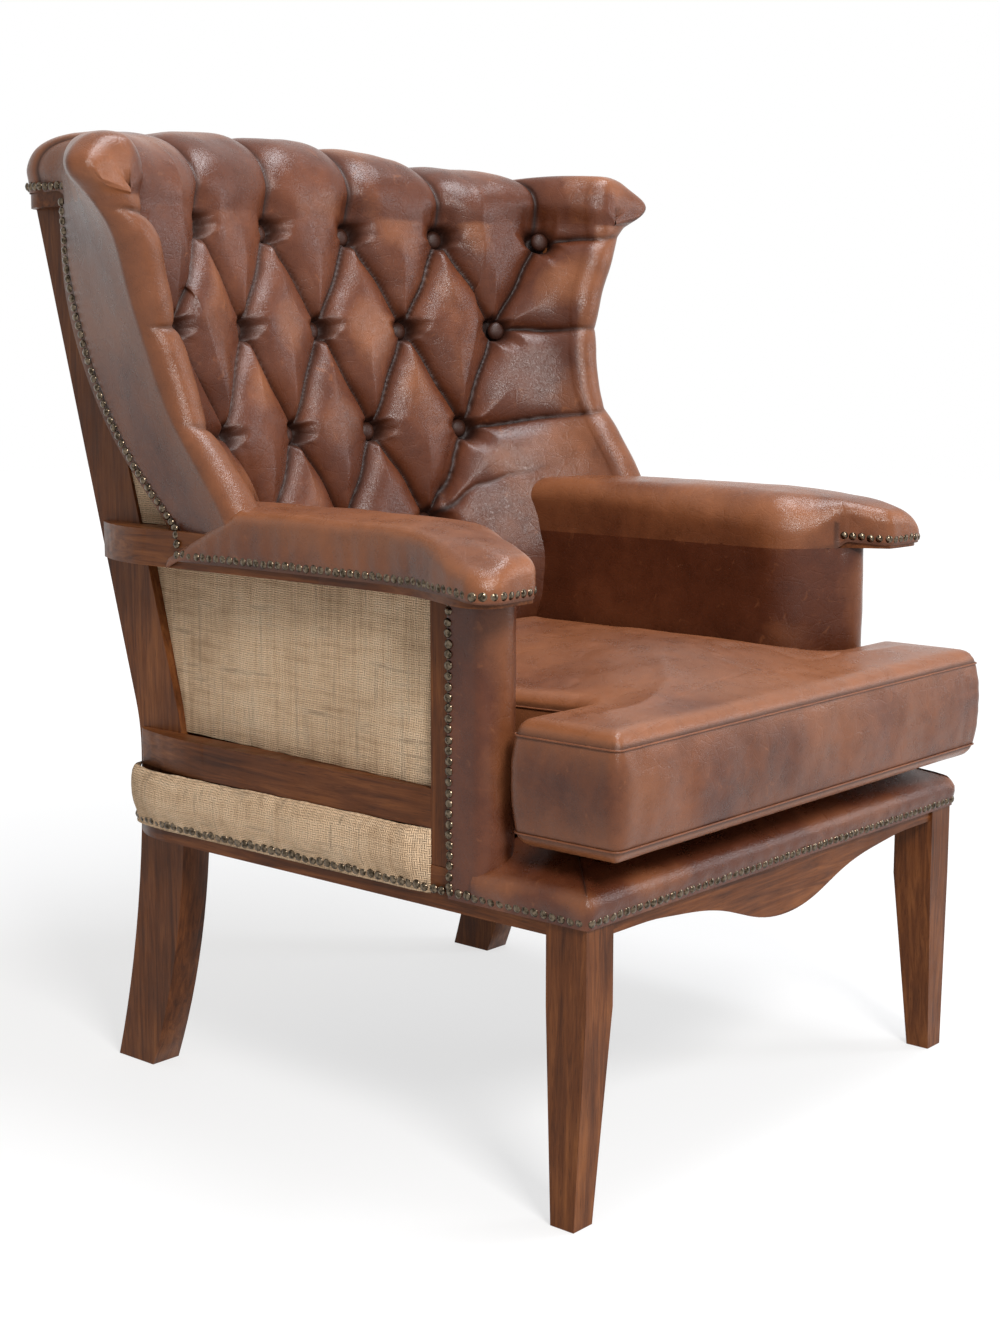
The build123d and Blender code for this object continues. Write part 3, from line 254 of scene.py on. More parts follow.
# ---- materials
class Nodes:
    """Short names for building the node tree of a material or world."""

    def __init__(self, owner):
        owner.use_nodes = True
        self.owner = owner
        self.nt = owner.node_tree

    def new(self, kind, **sets):
        n = self.nt.nodes.new("ShaderNode" + kind)
        for k, v in sets.items():
            setattr(n, k, v)
        return n

    def put(self, socket, value):
        if isinstance(value, bpy.types.NodeSocket):
            self.nt.links.new(value, socket)
        elif value is not None:
            socket.default_value = value

    def fill(self, n, **values):
        """Sets inputs of a node by name, with _ for a space."""
        for key, value in values.items():
            self.put(n.inputs[key.replace("_", " ")], value)
        return n

    def shader(self, **values):
        """Sets the material's shader and returns the material."""
        self.fill(self.nt.nodes["Principled BSDF"], **values)
        return self.owner

    def place(self):
        """Where a point is on its object."""
        found = self.nt.nodes.get("Texture Coordinate") or self.new("TexCoord")
        return found.outputs["Object"]

    def mapped(self, stretch):
        return self.fill(self.new("Mapping"), Scale=stretch, Vector=self.place()).outputs[0]

    def noise(self, scale, detail=4.0, rough=0.55, stretch=(1, 1, 1), distort=0.0):
        return self.fill(self.new("TexNoise"), Scale=scale, Detail=detail, Roughness=rough,
                         Distortion=distort, Vector=self.mapped(stretch)).outputs["Fac"]

    def cracks(self, scale, stretch=(1, 1, 1), rand=1.0):
        return self.fill(self.new("TexVoronoi", feature="DISTANCE_TO_EDGE"), Scale=scale, Randomness=rand,
                         Vector=self.mapped(stretch)).outputs["Distance"]

    def ramp(self, fac, stops):
        n = self.new("ValToRGB")
        e = n.color_ramp.elements
        while len(e) < len(stops):
            e.new(0.5)
        for i, (pos, col) in enumerate(stops):
            e[i].position = pos
            e[i].color = (*col, 1)
        self.put(n.inputs["Fac"], fac)
        return n.outputs["Color"]

    def math(self, op, a, b=None):
        n = self.new("Math", operation=op)
        self.put(n.inputs[0], a)
        self.put(n.inputs[1], b)
        return n.outputs[0]

    def mul(self, a, b):
        return self.math("MULTIPLY", a, b)

    def total(self, a, share_a, b, share_b):
        return self.math("ADD", self.mul(a, share_a), self.mul(b, share_b))

    def less(self, a):
        """1 - a"""
        return self.math("SUBTRACT", 1.0, a)

    def remap(self, fac, *ends):
        n = self.new("MapRange")
        for s, v in zip(n.inputs[1:5], ends):
            s.default_value = v
        self.put(n.inputs[0], fac)
        return n.outputs[0]

    def mix(self, fac, a, b, mode="MIX"):
        n = self.new("Mix", data_type="RGBA", blend_type=mode)
        self.put(n.inputs[0], fac)
        self.put(n.inputs[6], a)
        self.put(n.inputs[7], (*b, 1))
        return n.outputs[2]

    def bumps(self, *layers):
        """Bumps on each other, each a height, a strength and a distance in metres."""
        normal = None
        for height, strength, distance in layers:
            normal = self.fill(self.new("Bump"), Strength=strength, Distance=distance, Height=height,
                               Normal=normal).outputs["Normal"]
        return normal

    def attr(self, name):
        return self.new("Attribute", attribute_name=name).outputs["Fac"]

    def seen(self, shaded, plain):
        """plain where the camera, a reflection or glass looks, and shaded for light that falls on things."""
        path = self.new("LightPath")
        rays = path.outputs["Is Camera Ray"]
        for name in ("Is Glossy Ray", "Is Transmission Ray"):
            rays = self.math("MAXIMUM", rays, path.outputs[name])
        return self.remap(rays, 0, 1, shaded, plain)


LEATHER_TONES = ((0.24, (0.044, 0.0112, 0.0050)), (0.5, (0.082, 0.0222, 0.0088)),
                 (0.8, (0.150, 0.0450, 0.0170)))
LEATHER_WORN = (0.35, 0.132, 0.052)
# near-black colour painted into folds, creases, seams and button wells as shade
LEATHER_PAINTED_SHADE = (0.007, 0.0022, 0.0015)
WOOD_PORE = (0.006, 0.003, 0.002)
# dark colour painted into the gaps between threads as shade
WEAVE_GAP_SHADE = (0.05, 0.03, 0.018)


def leather(name, tint=1.0, wear=1.0, rough=0.28):
    n = Nodes(bpy.data.materials.new(name))
    mid = n.noise(34, 5, 0.65, distort=0.3)
    fine = n.noise(120, 3, 0.6)
    fold = n.attr("fold")
    base = n.ramp(n.total(n.noise(5.5, 2, 0.5, distort=0.3), 0.55, mid, 0.45), LEATHER_TONES)
    scuff = n.remap(n.total(n.attr("wear"), 0.75, mid, 0.25), 0.46, 1.0, 0, 0.55)
    base = n.mix(n.mul(scuff, wear), base, LEATHER_WORN)
    patch = n.remap(n.noise(60, 2, 0.7, distort=1.2), 0.64, 0.76, 0, 0.2)
    base = n.mix(n.mul(patch, wear), base, LEATHER_WORN)
    # painted shade: the colour is darkened toward near black by each point's fold share, in folds, creases,
    # seams and button wells
    base = n.mix(n.mul(fold, 0.93), base, LEATHER_PAINTED_SHADE)
    if tint != 1.0:
        base = n.mix(1.0, base, (tint, tint, tint), "MULTIPLY")
    sheen = n.remap(n.total(mid, 0.6, fine, 0.4), 0.3, 0.7, rough - 0.05, rough + 0.08)
    pebble = n.remap(n.cracks(620, rand=0.95), 0.0, 0.35, 0, 1)
    crease = n.remap(n.cracks(46, stretch=(1, 1, 1.5)), 0.0, 0.06, 0, 1)
    return n.shader(Base_Color=base, Roughness=n.math("ADD", sheen, n.mul(fold, 0.25)),
                    Specular_IOR_Level=0.3,
                    Normal=n.bumps((n.noise(13, 2, 0.5), 0.3, 0.006), (crease, 0.10, 0.0012),
                                   (pebble, 0.28, 0.0004), (fine, 0.12, 0.0007)))


def wood(name, axis, dark=(0.036, 0.0105, 0.0034), mid=(0.110, 0.0340, 0.0100), light=(0.215, 0.075, 0.0230),
         rough=0.34):
    n = Nodes(bpy.data.materials.new(name))
    along = [9.0, 9.0, 9.0]
    along[axis] = 0.55
    fibre = n.noise(14, 6, 0.65, stretch=along, distort=0.8)
    pores = n.noise(85, 3, 0.6, stretch=along)
    base = n.ramp(n.total(fibre, 0.65, n.noise(7, 3, 0.5), 0.35), [(0.33, dark), (0.5, mid), (0.68, light)])
    base = n.mix(n.remap(pores, 0.3, 0.42, 0.45, 0), base, WOOD_PORE)
    return n.shader(Base_Color=base, Specular_IOR_Level=0.14,
                    Roughness=n.remap(n.noise(40, 4, 0.6), 0.3, 0.7, rough - 0.06, rough + 0.14),
                    Normal=n.bumps((n.noise(11, 3, 0.5), 0.2, 0.004), (fibre, 0.12, 0.0012),
                                   (pores, 0.18, 0.0004)))


def weave(name, directions, pitch, colors):
    """Coarse plain weave; its threads run across the two directions."""
    n = Nodes(bpy.data.materials.new(name))
    ridge, half, streak = [], [], []
    for direction in directions:
        dot = n.new("VectorMath", operation="DOT_PRODUCT")
        n.put(dot.inputs[0], n.place())
        dot.inputs[1].default_value = direction
        warp = n.mul(n.math("SUBTRACT", n.noise(22, 3, 0.6), 0.5), 0.006)
        turn = n.mul(n.math("ADD", dot.outputs["Value"], warp), 2 * math.pi / pitch)
        ridge.append(n.math("ABSOLUTE", n.math("SINE", turn)))
        half.append(n.math("SINE", n.mul(turn, 0.5)))
        streak.insert(0, n.noise(130, 3, 0.6, stretch=[0.06 if abs(d) > 0.5 else 1 for d in direction]))
    pick = n.remap(n.mul(*half), -0.15, 0.15, 0, 1)
    height = n.math("ADD", n.mul(ridge[0], pick), n.mul(ridge[1], n.less(pick)))
    gap = n.mul(n.less(ridge[0]), n.less(ridge[1]))
    slubs = n.math("MAXIMUM", *[n.remap(v, 0.55, 0.72, 0, 1) for v in streak])
    tone = n.total(n.noise(9, 3, 0.6), 0.3, n.math("ADD", *streak), 0.35)
    base = n.ramp(tone, list(zip((0.35, 0.5, 0.65), colors)))
    base = n.mix(n.mul(slubs, 0.6), base, [c * 0.6 for c in colors[0]])
    # painted shade where a thread dips low in the weave
    base = n.mix(n.remap(height, 0.15, 0.85, 0.62, 0), base, [c * 0.4 for c in colors[0]])
    # painted shade in the gaps between the threads
    base = n.mix(n.remap(gap, 0.3, 0.8, 0, 0.85), base, WEAVE_GAP_SHADE)
    return n.shader(Base_Color=base, Roughness=0.9, Specular_IOR_Level=0.15,
                    Normal=n.bumps((n.noise(14, 3, 0.6), 0.3, 0.006), (height, 0.8, 0.0010),
                                   (n.noise(900, 2, 0.6), 0.4, 0.0004)))


def metal(name, dark, light, rough):
    n = Nodes(bpy.data.materials.new(name))
    spots = n.noise(260, 3, 0.6)
    return n.shader(Base_Color=n.ramp(spots, [(0.38, dark), (0.62, light)]), Metallic=1.0,
                    Roughness=n.remap(spots, 0.3, 0.7, rough - 0.08, rough + 0.14),
                    Normal=n.bumps((n.noise(700, 2, 0.6), 0.2, 0.0003)))


X, Y, Z = (1, 0, 0), (0, 1, 0), (0, 0, 1)
TAN = ((0.44, 0.285, 0.165), (0.74, 0.52, 0.33), (0.92, 0.70, 0.48))
TAN_PITCH = 0.0046
LEATHER = leather("leather")
LEATHER_SEAM = leather("leather_seam", tint=1.1, wear=1.2, rough=0.42)
WOOD = [wood("wood_" + "xyz"[i], i) for i in range(3)]
INNER_WOOD = wood("frame_wood", 0, (0.25, 0.15, 0.08), (0.36, 0.23, 0.13), (0.45, 0.31, 0.19), 0.55)
HESSIAN_SIDE = weave("hessian_side", (Y, Z), TAN_PITCH, TAN)
HESSIAN_BACK = weave("hessian_back", (X, Z), TAN_PITCH, TAN)
HESSIAN_DECK = weave("hessian_deck", (X, Y), TAN_PITCH, TAN)
WEBBING = weave("webbing", (X, Y), 0.003, ((0.2, 0.13, 0.08), (0.3, 0.21, 0.13), (0.38, 0.28, 0.18)))
BLACK = weave("black_cloth", (X, Y), 0.002, ((0.01,) * 3, (0.016,) * 3, (0.022,) * 3))
NAIL = metal("nail_brass", (0.03, 0.022, 0.014), (0.17, 0.13, 0.09), 0.17)
STEEL = metal("screw_steel", (0.35, 0.35, 0.36), (0.6, 0.6, 0.6), 0.35)


# ---- the wood frame, from the CAD nodes
WELD = 0.00002
SOFT_EDGE = 0.0012


def soften(o):
    o.modifiers.new("weld", "WELD").merge_threshold = WELD
    b = o.modifiers.new("edge", "BEVEL")
    b.width = SOFT_EDGE
    b.segments = 2
    b.limit_method = "ANGLE"
    b.angle_limit = math.radians(38)
    b.harden_normals = True


def dress(node, mat, soft=False):
    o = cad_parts[node]
    o.data.materials.clear()
    o.data.materials.append(mat)
    if soft:
        soften(o)


for part, axis in (("front_leg", 2), ("back_post", 2), ("side_seat_rail", 1), ("lower_arm_rail", 1),
                   ("arm_post", 2), ("arm_rail", 1), ("wing_frame", 2)):
    for tag in SIDES.values():
        dress(part + tag, WOOD[axis], True)
for part in ("front_seat_rail", "rear_seat_rail", "lower_back_rail", "crest_rail"):
    dress(part, WOOD[0], True)
for part, mat in (("corner_blocks", INNER_WOOD), ("lap_dowels", INNER_WOOD), ("corner_block_screws", STEEL),
                  ("webbing_lengthwise", WEBBING), ("webbing_crosswise", WEBBING),
                  ("back_webbing", HESSIAN_BACK)):
    dress(part, mat)

# ---- wing and back tables
LEVELS = [ARM_TOP + (CREST - ARM_TOP) * s for s in (0, .11, .33, .55, .75, .93, 1)]


def by_level(*values):
    return Curve([DECK] + LEVELS, values)


# front of the wing's roll, its middle and radius; where the back turns into the wing, and how hollow the
# wing is; rear edge of the wing board
front_z = Curve([DECK, 431.8, 518.8] + LEVELS,
                [531, 497, 440] + [440 + 106 * s for s in (0, .2, .71, .94, 1, .96, 1)])
roll_z = by_level(327, 327, 330, 336.5, 347, 364, 386, 397)
radius_z = by_level(24, 24, 23, 23, 24, 25.5, 28, 30)
turn_z = by_level(150, *[150 + 100 * s for s in (0, .1, .4, .65, .85, 1, 1)])
sag_z = by_level(.05, .07, .08, .11, .14, .15, .15, .15)
rear_z = by_level(571, *[571 + 167 * s for s in (0, .22, .617, .862, .98, 1, 1)])
BOARD_Z = [ARM_TOP, 660, 700, 750, 800, 850, 900, 940, CREST]
board_slope = Curve(BOARD_Z, [.06, .08, .10, .12, .15, .195, .31, .40, .49])
board_rear = Curve(BOARD_Z, [575, 625, 660, 682, 705, 725, 740, 740, 740])
HOLLOW = 640.0  # radius of the hollow across the back
ROLL_START, ROLL_END = 195.0, 345.0  # angles of the roll
N_BACK, N_SIDE, N_ROLL, N_OUT = 84, 64, 44, 26  # points of the plan curve
N_IN = N_BACK + N_SIDE
MIRROR = np.array([-1, 1, 1])


def hollow(x):
    return HOLLOW - np.sqrt(HOLLOW ** 2 - np.asarray(x, float) ** 2)


def back_y(z):
    return 630 + (np.asarray(z, float) - ARM_TOP) * BACK_SLOPE


def roll_point(z, angle):
    r, a = radius_z(z), np.radians(angle)
    return np.stack([roll_z(z) + r * np.cos(a), front_z(z) + r + r * np.sin(a)], -1)


def board_x(y, z):
    """Outer face of the wing board."""
    return 335.5 + board_slope(z) * np.clip(board_rear(z) - y, 0, None)


def board_nail(z):
    """Where the wing's leather is nailed on the outer face of the board."""
    y = rear_z(z) - 20
    return np.stack([board_x(y, z) + PROUD, y], -1)


def plan_right(z):
    """Right half of the plan curve at height z, from the middle of the back out round the wing's roll."""
    x = turn_z(z) * np.linspace(0, 1, N_BACK + 1)
    back = np.stack([x, back_y(z) - hollow(x)], -1)
    chord = roll_point(z, ROLL_START) - back[-1]
    bow = np.array([-chord[1], chord[0]]) * float(sag_z(z)) * 4
    s = np.linspace(0, 1, N_SIDE + 1)[1:, None]
    side = back[-1] + chord * s + bow * s * (1 - s)
    roll = roll_point(np.full(N_ROLL, float(z)), np.linspace(ROLL_START, ROLL_END, N_ROLL + 1)[1:])
    s = np.linspace(0, 1, N_OUT + 1)[1:, None]
    outside = roll[-1] + (board_nail(z) - roll[-1]) * s
    outside[:, 0] = np.maximum(outside[:, 0], board_x(outside[:, 1], z) + 3.0)
    return np.vstack([back, side, roll, outside])


def arc_at(z, x):
    """Distance along the plan curve, at height z, of the point with that x."""
    p = plan_right(z)[:N_IN + 1]
    return math.copysign(np.interp(abs(x), p[:, 0], lengths(p)), x) if x else 0.0


def arc_total(z, upto):
    return np.linalg.norm(np.diff(plan_right(z)[:upto], axis=0), axis=1).sum()


PITCH = 131.0
ROWS = [(z, [PITCH * (i - (count - 1) / 2) for i in range(count)])
        for z, count in ((950.0, 6), (836.0, 5), (714.0, 4), (600.0, 3))]
ARCS = [[(arc_at(z, x), z) for x in xs] for z, xs in ROWS]
UPS = [s for s, z in ARCS[0]]

# Folds: the place of both ends, the depth at the start, the middle and the end, and the width
FOLDS = []
for r in range(3):
    for i, (s, z) in enumerate(ARCS[r + 1]):
        FOLDS += [(s, z, *end, 35, 27, 35, 58) for end in ARCS[r][i:i + 2]]
for s, z in ARCS[3]:
    FOLDS += [(s, z, s + step, 480.0, 27, 15, 4, 48) for step in (-66, 66)]
for s in UPS:
    FOLDS.append((s, 950.0, s, 985.0, 27, 22, 20, 46))
for sign in SIDES:
    for r, end_z in enumerate((952.0, 834.0, 734.0)):
        s, z = ARCS[r][-1]
        FOLDS.append((sign * s, z, sign * arc_total(end_z, N_IN + N_ROLL - 4), end_z, 26, 15, 5, 42))
    # lower corners of the wings, down into the seam with the arms
    s, z = ARCS[3][-1]
    FOLDS.append((sign * s, z, sign * (s + 62), 640.0, 26, 14, 8, 44))
    FOLDS.append((sign * (s + 62), 640.0, sign * (s + 150), 660.0, 8, 5, 2, 36))


def pillow(t, w):
    q = np.clip(t / w, 0, 1)
    return np.sqrt(np.clip(1 - (1 - q) ** 2, 0, 1))


def tuft(s, z):
    """How far the leather is drawn in at a place on the back, and how much painted shade it gets in a fold or
    button well, from 0 to 1.
    """
    drawn, crease_shade = np.zeros(np.shape(s)), np.zeros(np.shape(s))
    for s0, z0, s1, z1, d0, dm, d1, w in FOLDS:
        vx, vz = s1 - s0, z1 - z0
        ll = vx * vx + vz * vz
        tau = np.clip(((s - s0) * vx + (z - z0) * vz) / ll, 0, 1)
        px, pz = s - (s0 + tau * vx), z - (z0 + tau * vz)
        wobble = 1.5 * np.sin(tau * 9 + s0 * 0.05)
        side = (px * vz - pz * vx) / math.sqrt(ll) + wobble * np.sin(math.pi * tau)
        dist = np.where((tau > 0) & (tau < 1), np.abs(side), np.hypot(px, pz))
        depth = d0 * (1 - tau) ** 2 + 2 * (2 * dm - (d0 + d1) / 2) * tau * (1 - tau) + d1 * tau ** 2
        drawn = np.maximum(drawn, depth * (1 - pillow(dist, w * (1 - 0.25 * (pz < 0)))))
        # painted shade along the bottom of each fold
        crease_shade = np.maximum(crease_shade, np.clip(depth / 17, 0, 1) * bell(dist, 3.4))
    for at, height in sum(ARCS, []):
        far = np.hypot(s - at, z - height)
        turn = np.arctan2(z - height, s - at)
        drawn = np.maximum(drawn, 36 * (1 - pillow(np.maximum(far - 12, 0), 38)))
        drawn += 0.7 * np.sin(turn * 11 + at) * bell(far - 18, 12)
        # painted shade in the button wells
        crease_shade = np.maximum(crease_shade, 0.97 * bell(np.maximum(far - 10, 0), 9))
    return drawn, crease_shade


FLARE = Curve([925, 950, 965, 978, 990, 1002, 1014, 1030], [0, 5, 11, 22, 28, 21, 7, 0])
FLARE_OUT, FLARE_BACK = 0.94, -0.34


def tip_flare(q):
    """How far the corner of a wing's top is drawn outward; less on the left, as in the photograph."""
    x, y, z = np.moveaxis(q, -1, 0)
    away = unit(np.stack([np.abs(x) - 389, y - 584], -1))
    share = np.clip(away[..., 0] * FLARE_OUT + away[..., 1] * FLARE_BACK, 0, 1) * smooth(np.abs(x), 385, 424)
    size = FLARE(z) * np.where(z < 925, 0, share) * np.where(x < 0, 0.6, 1.0)
    return np.stack([FLARE_OUT * size * np.sign(x), FLARE_BACK * size, 0 * size], -1)


def build_back():
    """One leather surface: back, insides and outsides of the wings, and the roll over the crest."""
    za = np.concatenate([np.linspace(DECK, ARM_TOP, 70), np.linspace(ARM_TOP, CREST, 150)[1:]])
    p, s = [], []
    for z in za:
        half = plan_right(z)
        right = raised(half, z)
        p.append(np.vstack([right[:0:-1] * MIRROR, right]))
        d = lengths(half)
        s.append(np.concatenate([-d[:0:-1], d]))
    p, s = np.array(p), np.array(s)
    middle = p.shape[1] // 2
    col = np.abs(np.arange(p.shape[1]) - middle)
    drawn, crease_shade = tuft(s, p[..., 2])
    # the roll and the outside of the wing stay smooth
    outside = smooth(col, N_IN + N_ROLL * 0.55, N_IN + N_ROLL + 4)[None, :]
    drawn = drawn * (1 - outside)
    crease_shade = crease_shade * (1 - outside)
    lump = noise(p, 70) * 2.0 + noise(p, 28, 5.3) * 0.8
    lump = lump * (1 - 0.6 * outside) + outside * noise(p * np.array([1, 1, 0.4]), 45, 2.2) * 0.7
    free = 1 - smooth(col, middle - 7, middle)[None, :]
    n = grid_normals(p, (len(za) // 2, middle), (0, -1, 0))
    q = p + n * (3.0 * free * (1 - outside) + lump * free - drawn)[..., None]
    # turn under at the nail line
    q[:, 0] = p[:, 0] + (PROUD, 0, 0)
    q[:, -1] = p[:, -1] - (PROUD, 0, 0)
    q += tip_flare(q)
    roll = smooth(col, N_IN, N_IN + 12)[None, :] * (1 - smooth(col, N_IN + N_ROLL, middle + 1))
    worn = np.maximum(0.55 + 0.5 * noise(p, 60, 9.1) - drawn / 22, roll * 0.8)

    # the cap over the crest, from the same columns, across to the rear
    end = N_IN + N_ROLL // 2
    span = slice(middle - end, middle + end + 1)
    foot, foot_q = p[-1, span], q[-1, span]
    n_cap = len(foot)
    sgn = np.sign(np.arange(n_cap) - end)
    k = np.abs(np.arange(n_cap) - end) / end  # 0 in the middle, 1 at the tip
    last = roll_point(CREST, ROLL_END)
    path = [(0, 834), (286, 834), (303, 830), (318, 816), (334, 798), (339, 772), (SKIN, 724)]
    path += [(SKIN + (last[0] - SKIN) * t, 724 + (last[1] - 724) * t) for t in (.25, .5, .75, 1)]
    path = np.array(path + [tuple(roll_point(CREST, a)) for a in (325, 305, 285, 270)])
    keys = [0, .50, .55, .59, .63, .67, .715, .755, .80, .845, .885, .925, .955, .985, 1.0]
    w = smooth(k, 0.3, 0.45) * (1 - smooth(k, 0.93, 0.99))
    outer = [np.interp(k, keys, v) for v in path.T]
    outer = np.stack([v * (1 - w) + eased(v, 4) * w for v in outer], -1)
    outer[:, 0] *= sgn
    keys = [0, .2, .43, .5, .6, .7, .8, .92, 1.0]
    top = np.where(sgn < 0, Curve(keys, [1058, 1057, 1047, 1044, 1042, 1036, 1030, 1023, 1012])(k),
                   Curve(keys, [1058, 1052, 1039, 1037, 1036, 1033, 1029, 1023, 1012])(k))
    top = CREST + (top - CREST) * np.sqrt(1 - 0.97 * np.clip((k - 0.93) / 0.07, 0, 1) ** 2)
    box = smooth(k, .48, .58) * (1 - smooth(k, .8, .92))
    foot_z = CREST + 16.0 * (1 - smooth(k, 0.700, 0.735))
    lean = 6.0 * (1 - smooth(k, .5, .6)) + 24.0 * smooth(k, 0.70, 0.9)
    phi = np.linspace(0, 1, 55)[1:]  # from the front over the top to the rear
    inner = foot[:, :2]
    base = []
    for f in phi:
        a = math.pi * f
        power = 2.0 / (2.15 + (1.2 * box if f > 0.5 else 0.3 * box))
        h = 0.5 * (1 - np.sign(math.cos(a)) * abs(math.cos(a)) ** power)
        up = abs(math.sin(a)) ** power if f < 1 else np.zeros(n_cap)
        low = CREST if f < 0.5 else foot_z
        bulge = lean * math.sin(math.pi * min(max((f - 0.45) / 0.55, 0), 1)) ** 0.8
        bulge = bulge - 4.0 * math.sin(math.pi * min(f / 0.45, 1)) * (1 - smooth(k, 0.8, 1.0))
        base.append(raised(inner + (outer - inner) * h[:, None] + unit(outer - inner) * bulge[:, None],
                           low + (top - low) * up - 16 * box * max(f - 0.45, 0) * up))
    base = np.array(base)
    n = grid_normals(np.concatenate([foot[None], base]), (len(phi) // 2 + 1, end), (0, 0, 1))[1:]
    arc = np.repeat(s[-1, span][None, :], len(phi), 0)
    fade = 1 - smooth(phi, 0.3, 0.8)[:, None]
    # dark is painted shade along the folds and the pleats of the cap
    pull, dark = np.zeros(arc.shape), np.zeros(arc.shape)
    for su in UPS:
        t = np.abs(arc - su + 3 * np.sin(phi * 7 + su)[:, None] * phi[:, None])
        pull = np.maximum(pull, 18 * (1 - pillow(t, 46)) * fade)
        dark = np.maximum(dark, bell(t, 3.2) * fade)
    # small gathers between the folds, and drawn-in leather above the nails at the rear
    pull += (1.2 * (0.5 + 0.5 * np.sin(arc / 7.5)) * smooth(phi, .82, .97)[:, None]
             * (0.5 + 0.5 * noise(base, 40)))
    # pleats where the leather turns over the end of the crest
    for at, depth in ((0.565, 3.0), (0.665, 4.0)):
        t = (k - at)[None, :] * 560
        ramp = smooth(phi, 0.38, 0.62)[:, None]
        pull += depth * np.where(t > 0, np.exp(-t / 16), np.exp(t / 3.0)) * ramp
        dark = np.maximum(dark, 0.8 * bell(t, 2.2) * ramp)
    lump = noise(base, 60, 3.3) * 2.0 + noise(base, 22, 1.7) * 0.7
    free = 1 - smooth(phi, 0.9, 1.0)[:, None]
    cap = base + n * (3.0 * free + lump * free - pull)[..., None]
    cap += tip_flare(cap)
    join = (1 - smooth(phi, 0.0, 0.12))[:, None, None]
    cap = cap * (1 - join) + (base + (foot_q - foot)[None]) * join
    # the wing part meets the top row of the outer side
    blend = smooth(phi, 0.55, 1.0)
    for c in np.flatnonzero(k > 0.735):
        near = np.argmin(np.linalg.norm(p[-1, :, :2] - base[-1, c, :2], axis=1)
                         + 500 * (np.sign(p[-1, :, 0]) != sgn[c]) + 500 * (col < N_IN))
        cap[:, c] += (q[-1, near] - cap[-1, c])[None] * blend[:, None]
    cap_worn = 0.35 + 0.5 * noise(base, 50, 4.4) + 0.4 * smooth(phi, .2, .5)[:, None] - pull / 18

    low = (p[..., 2] >= ARM_TOP) | (col <= N_IN)[None, :]
    keep = low[:-1, :-1] & low[1:, :-1] & low[:-1, 1:] & low[1:, 1:]
    faces = np.vstack([grid_faces(*s.shape)[keep.ravel()], grid_faces(len(phi) + 1, n_cap, start=s.size)])
    o = leather_object("back_leather", [q, foot_q, cap], faces, [crease_shade, crease_shade[-1, span], dark],
                       [worn, worn[-1, span], cap_worn])
    weld(o, 0.0002)
    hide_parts("inside_back", "crest_roll")


build_back()

# ---- buttons
BUTTON_WIDE, BUTTON_HIGH, BUTTON_DEEP = 11.6, 7.0, 31.5


def build_buttons():
    places = []
    for z, xs in ROWS:
        for x in xs:
            out = unit(np.array([-x / math.sqrt(HOLLOW ** 2 - x * x), -1, BACK_SLOPE]))
            c = np.array([x, float(back_y(z) - hollow(x)), z]) - out * BUTTON_DEEP
            side = unit(np.cross(out, [0, 0, 1.0]))
            up = np.cross(side, out)
            tilt = rng.normal(0, 0.05, 2)
            places.append((c, unit(out + side * tilt[0] + up * tilt[1]), side, up, BUTTON_HIGH, x))

    def shape(place, across, down):
        a = down * math.pi * 0.62
        gather = 1 + 0.02 * math.sin(across * 9 + place[5]) * down
        return BUTTON_WIDE * math.sin(a) * gather, BUTTON_HIGH * math.cos(a)

    verts, faces = domes(places, 9, 26, shape)
    # the buttons get a fixed share of painted shade, for the dark wells they sit in
    o = leather_object("buttons", [verts], faces, [0.72], [0])
    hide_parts("back_buttons")


build_buttons()

# ---- arms
STUMP = rounded([(235, 640), (235, 171), (312, 109), (340, 125), (340, 170)], [0, 60, 20, 16, 0],
                closed=False)
flare_x = Curve([97, 137, 190, 254, 330, 560], [392, 381.6, 362.4, 354.4, 352, 352])
pad_top = Curve([60, 76, 97, 110, 160, 200, 260, 600], [619, 623, 628, 631, 639, 644, 646, 646])


def arm_plan():
    """Plan of the arm's leather, up its outer side, round the paddle and back along its inner side, and how
    many of the points are nailed."""
    nailed = [(352, y) for y in np.linspace(556, 345, 14)]
    nailed += [(float(flare_x(y)), y) for y in np.linspace(330, 100, 30)]
    nailed += [(368 + 24 * math.cos(a), 97 + 24 * math.sin(a)) for a in np.linspace(0, -1.45, 12)]
    nailed += [tuple(v) for v in rounded([(366, 73.2), (317, 77), (290, 127)], [0, 15, 0], closed=False)]
    rest = rounded([(290, 127), (235, 171), (235, 575)], [0, 60, 0], closed=False)
    return np.vstack([nailed, rest[1:]]), len(nailed)


def arm_lumps(v, sign):
    return noise(v, 60, 11.0 + sign) * 1.2 + noise(v, 24, 3.0 + sign) * 0.5


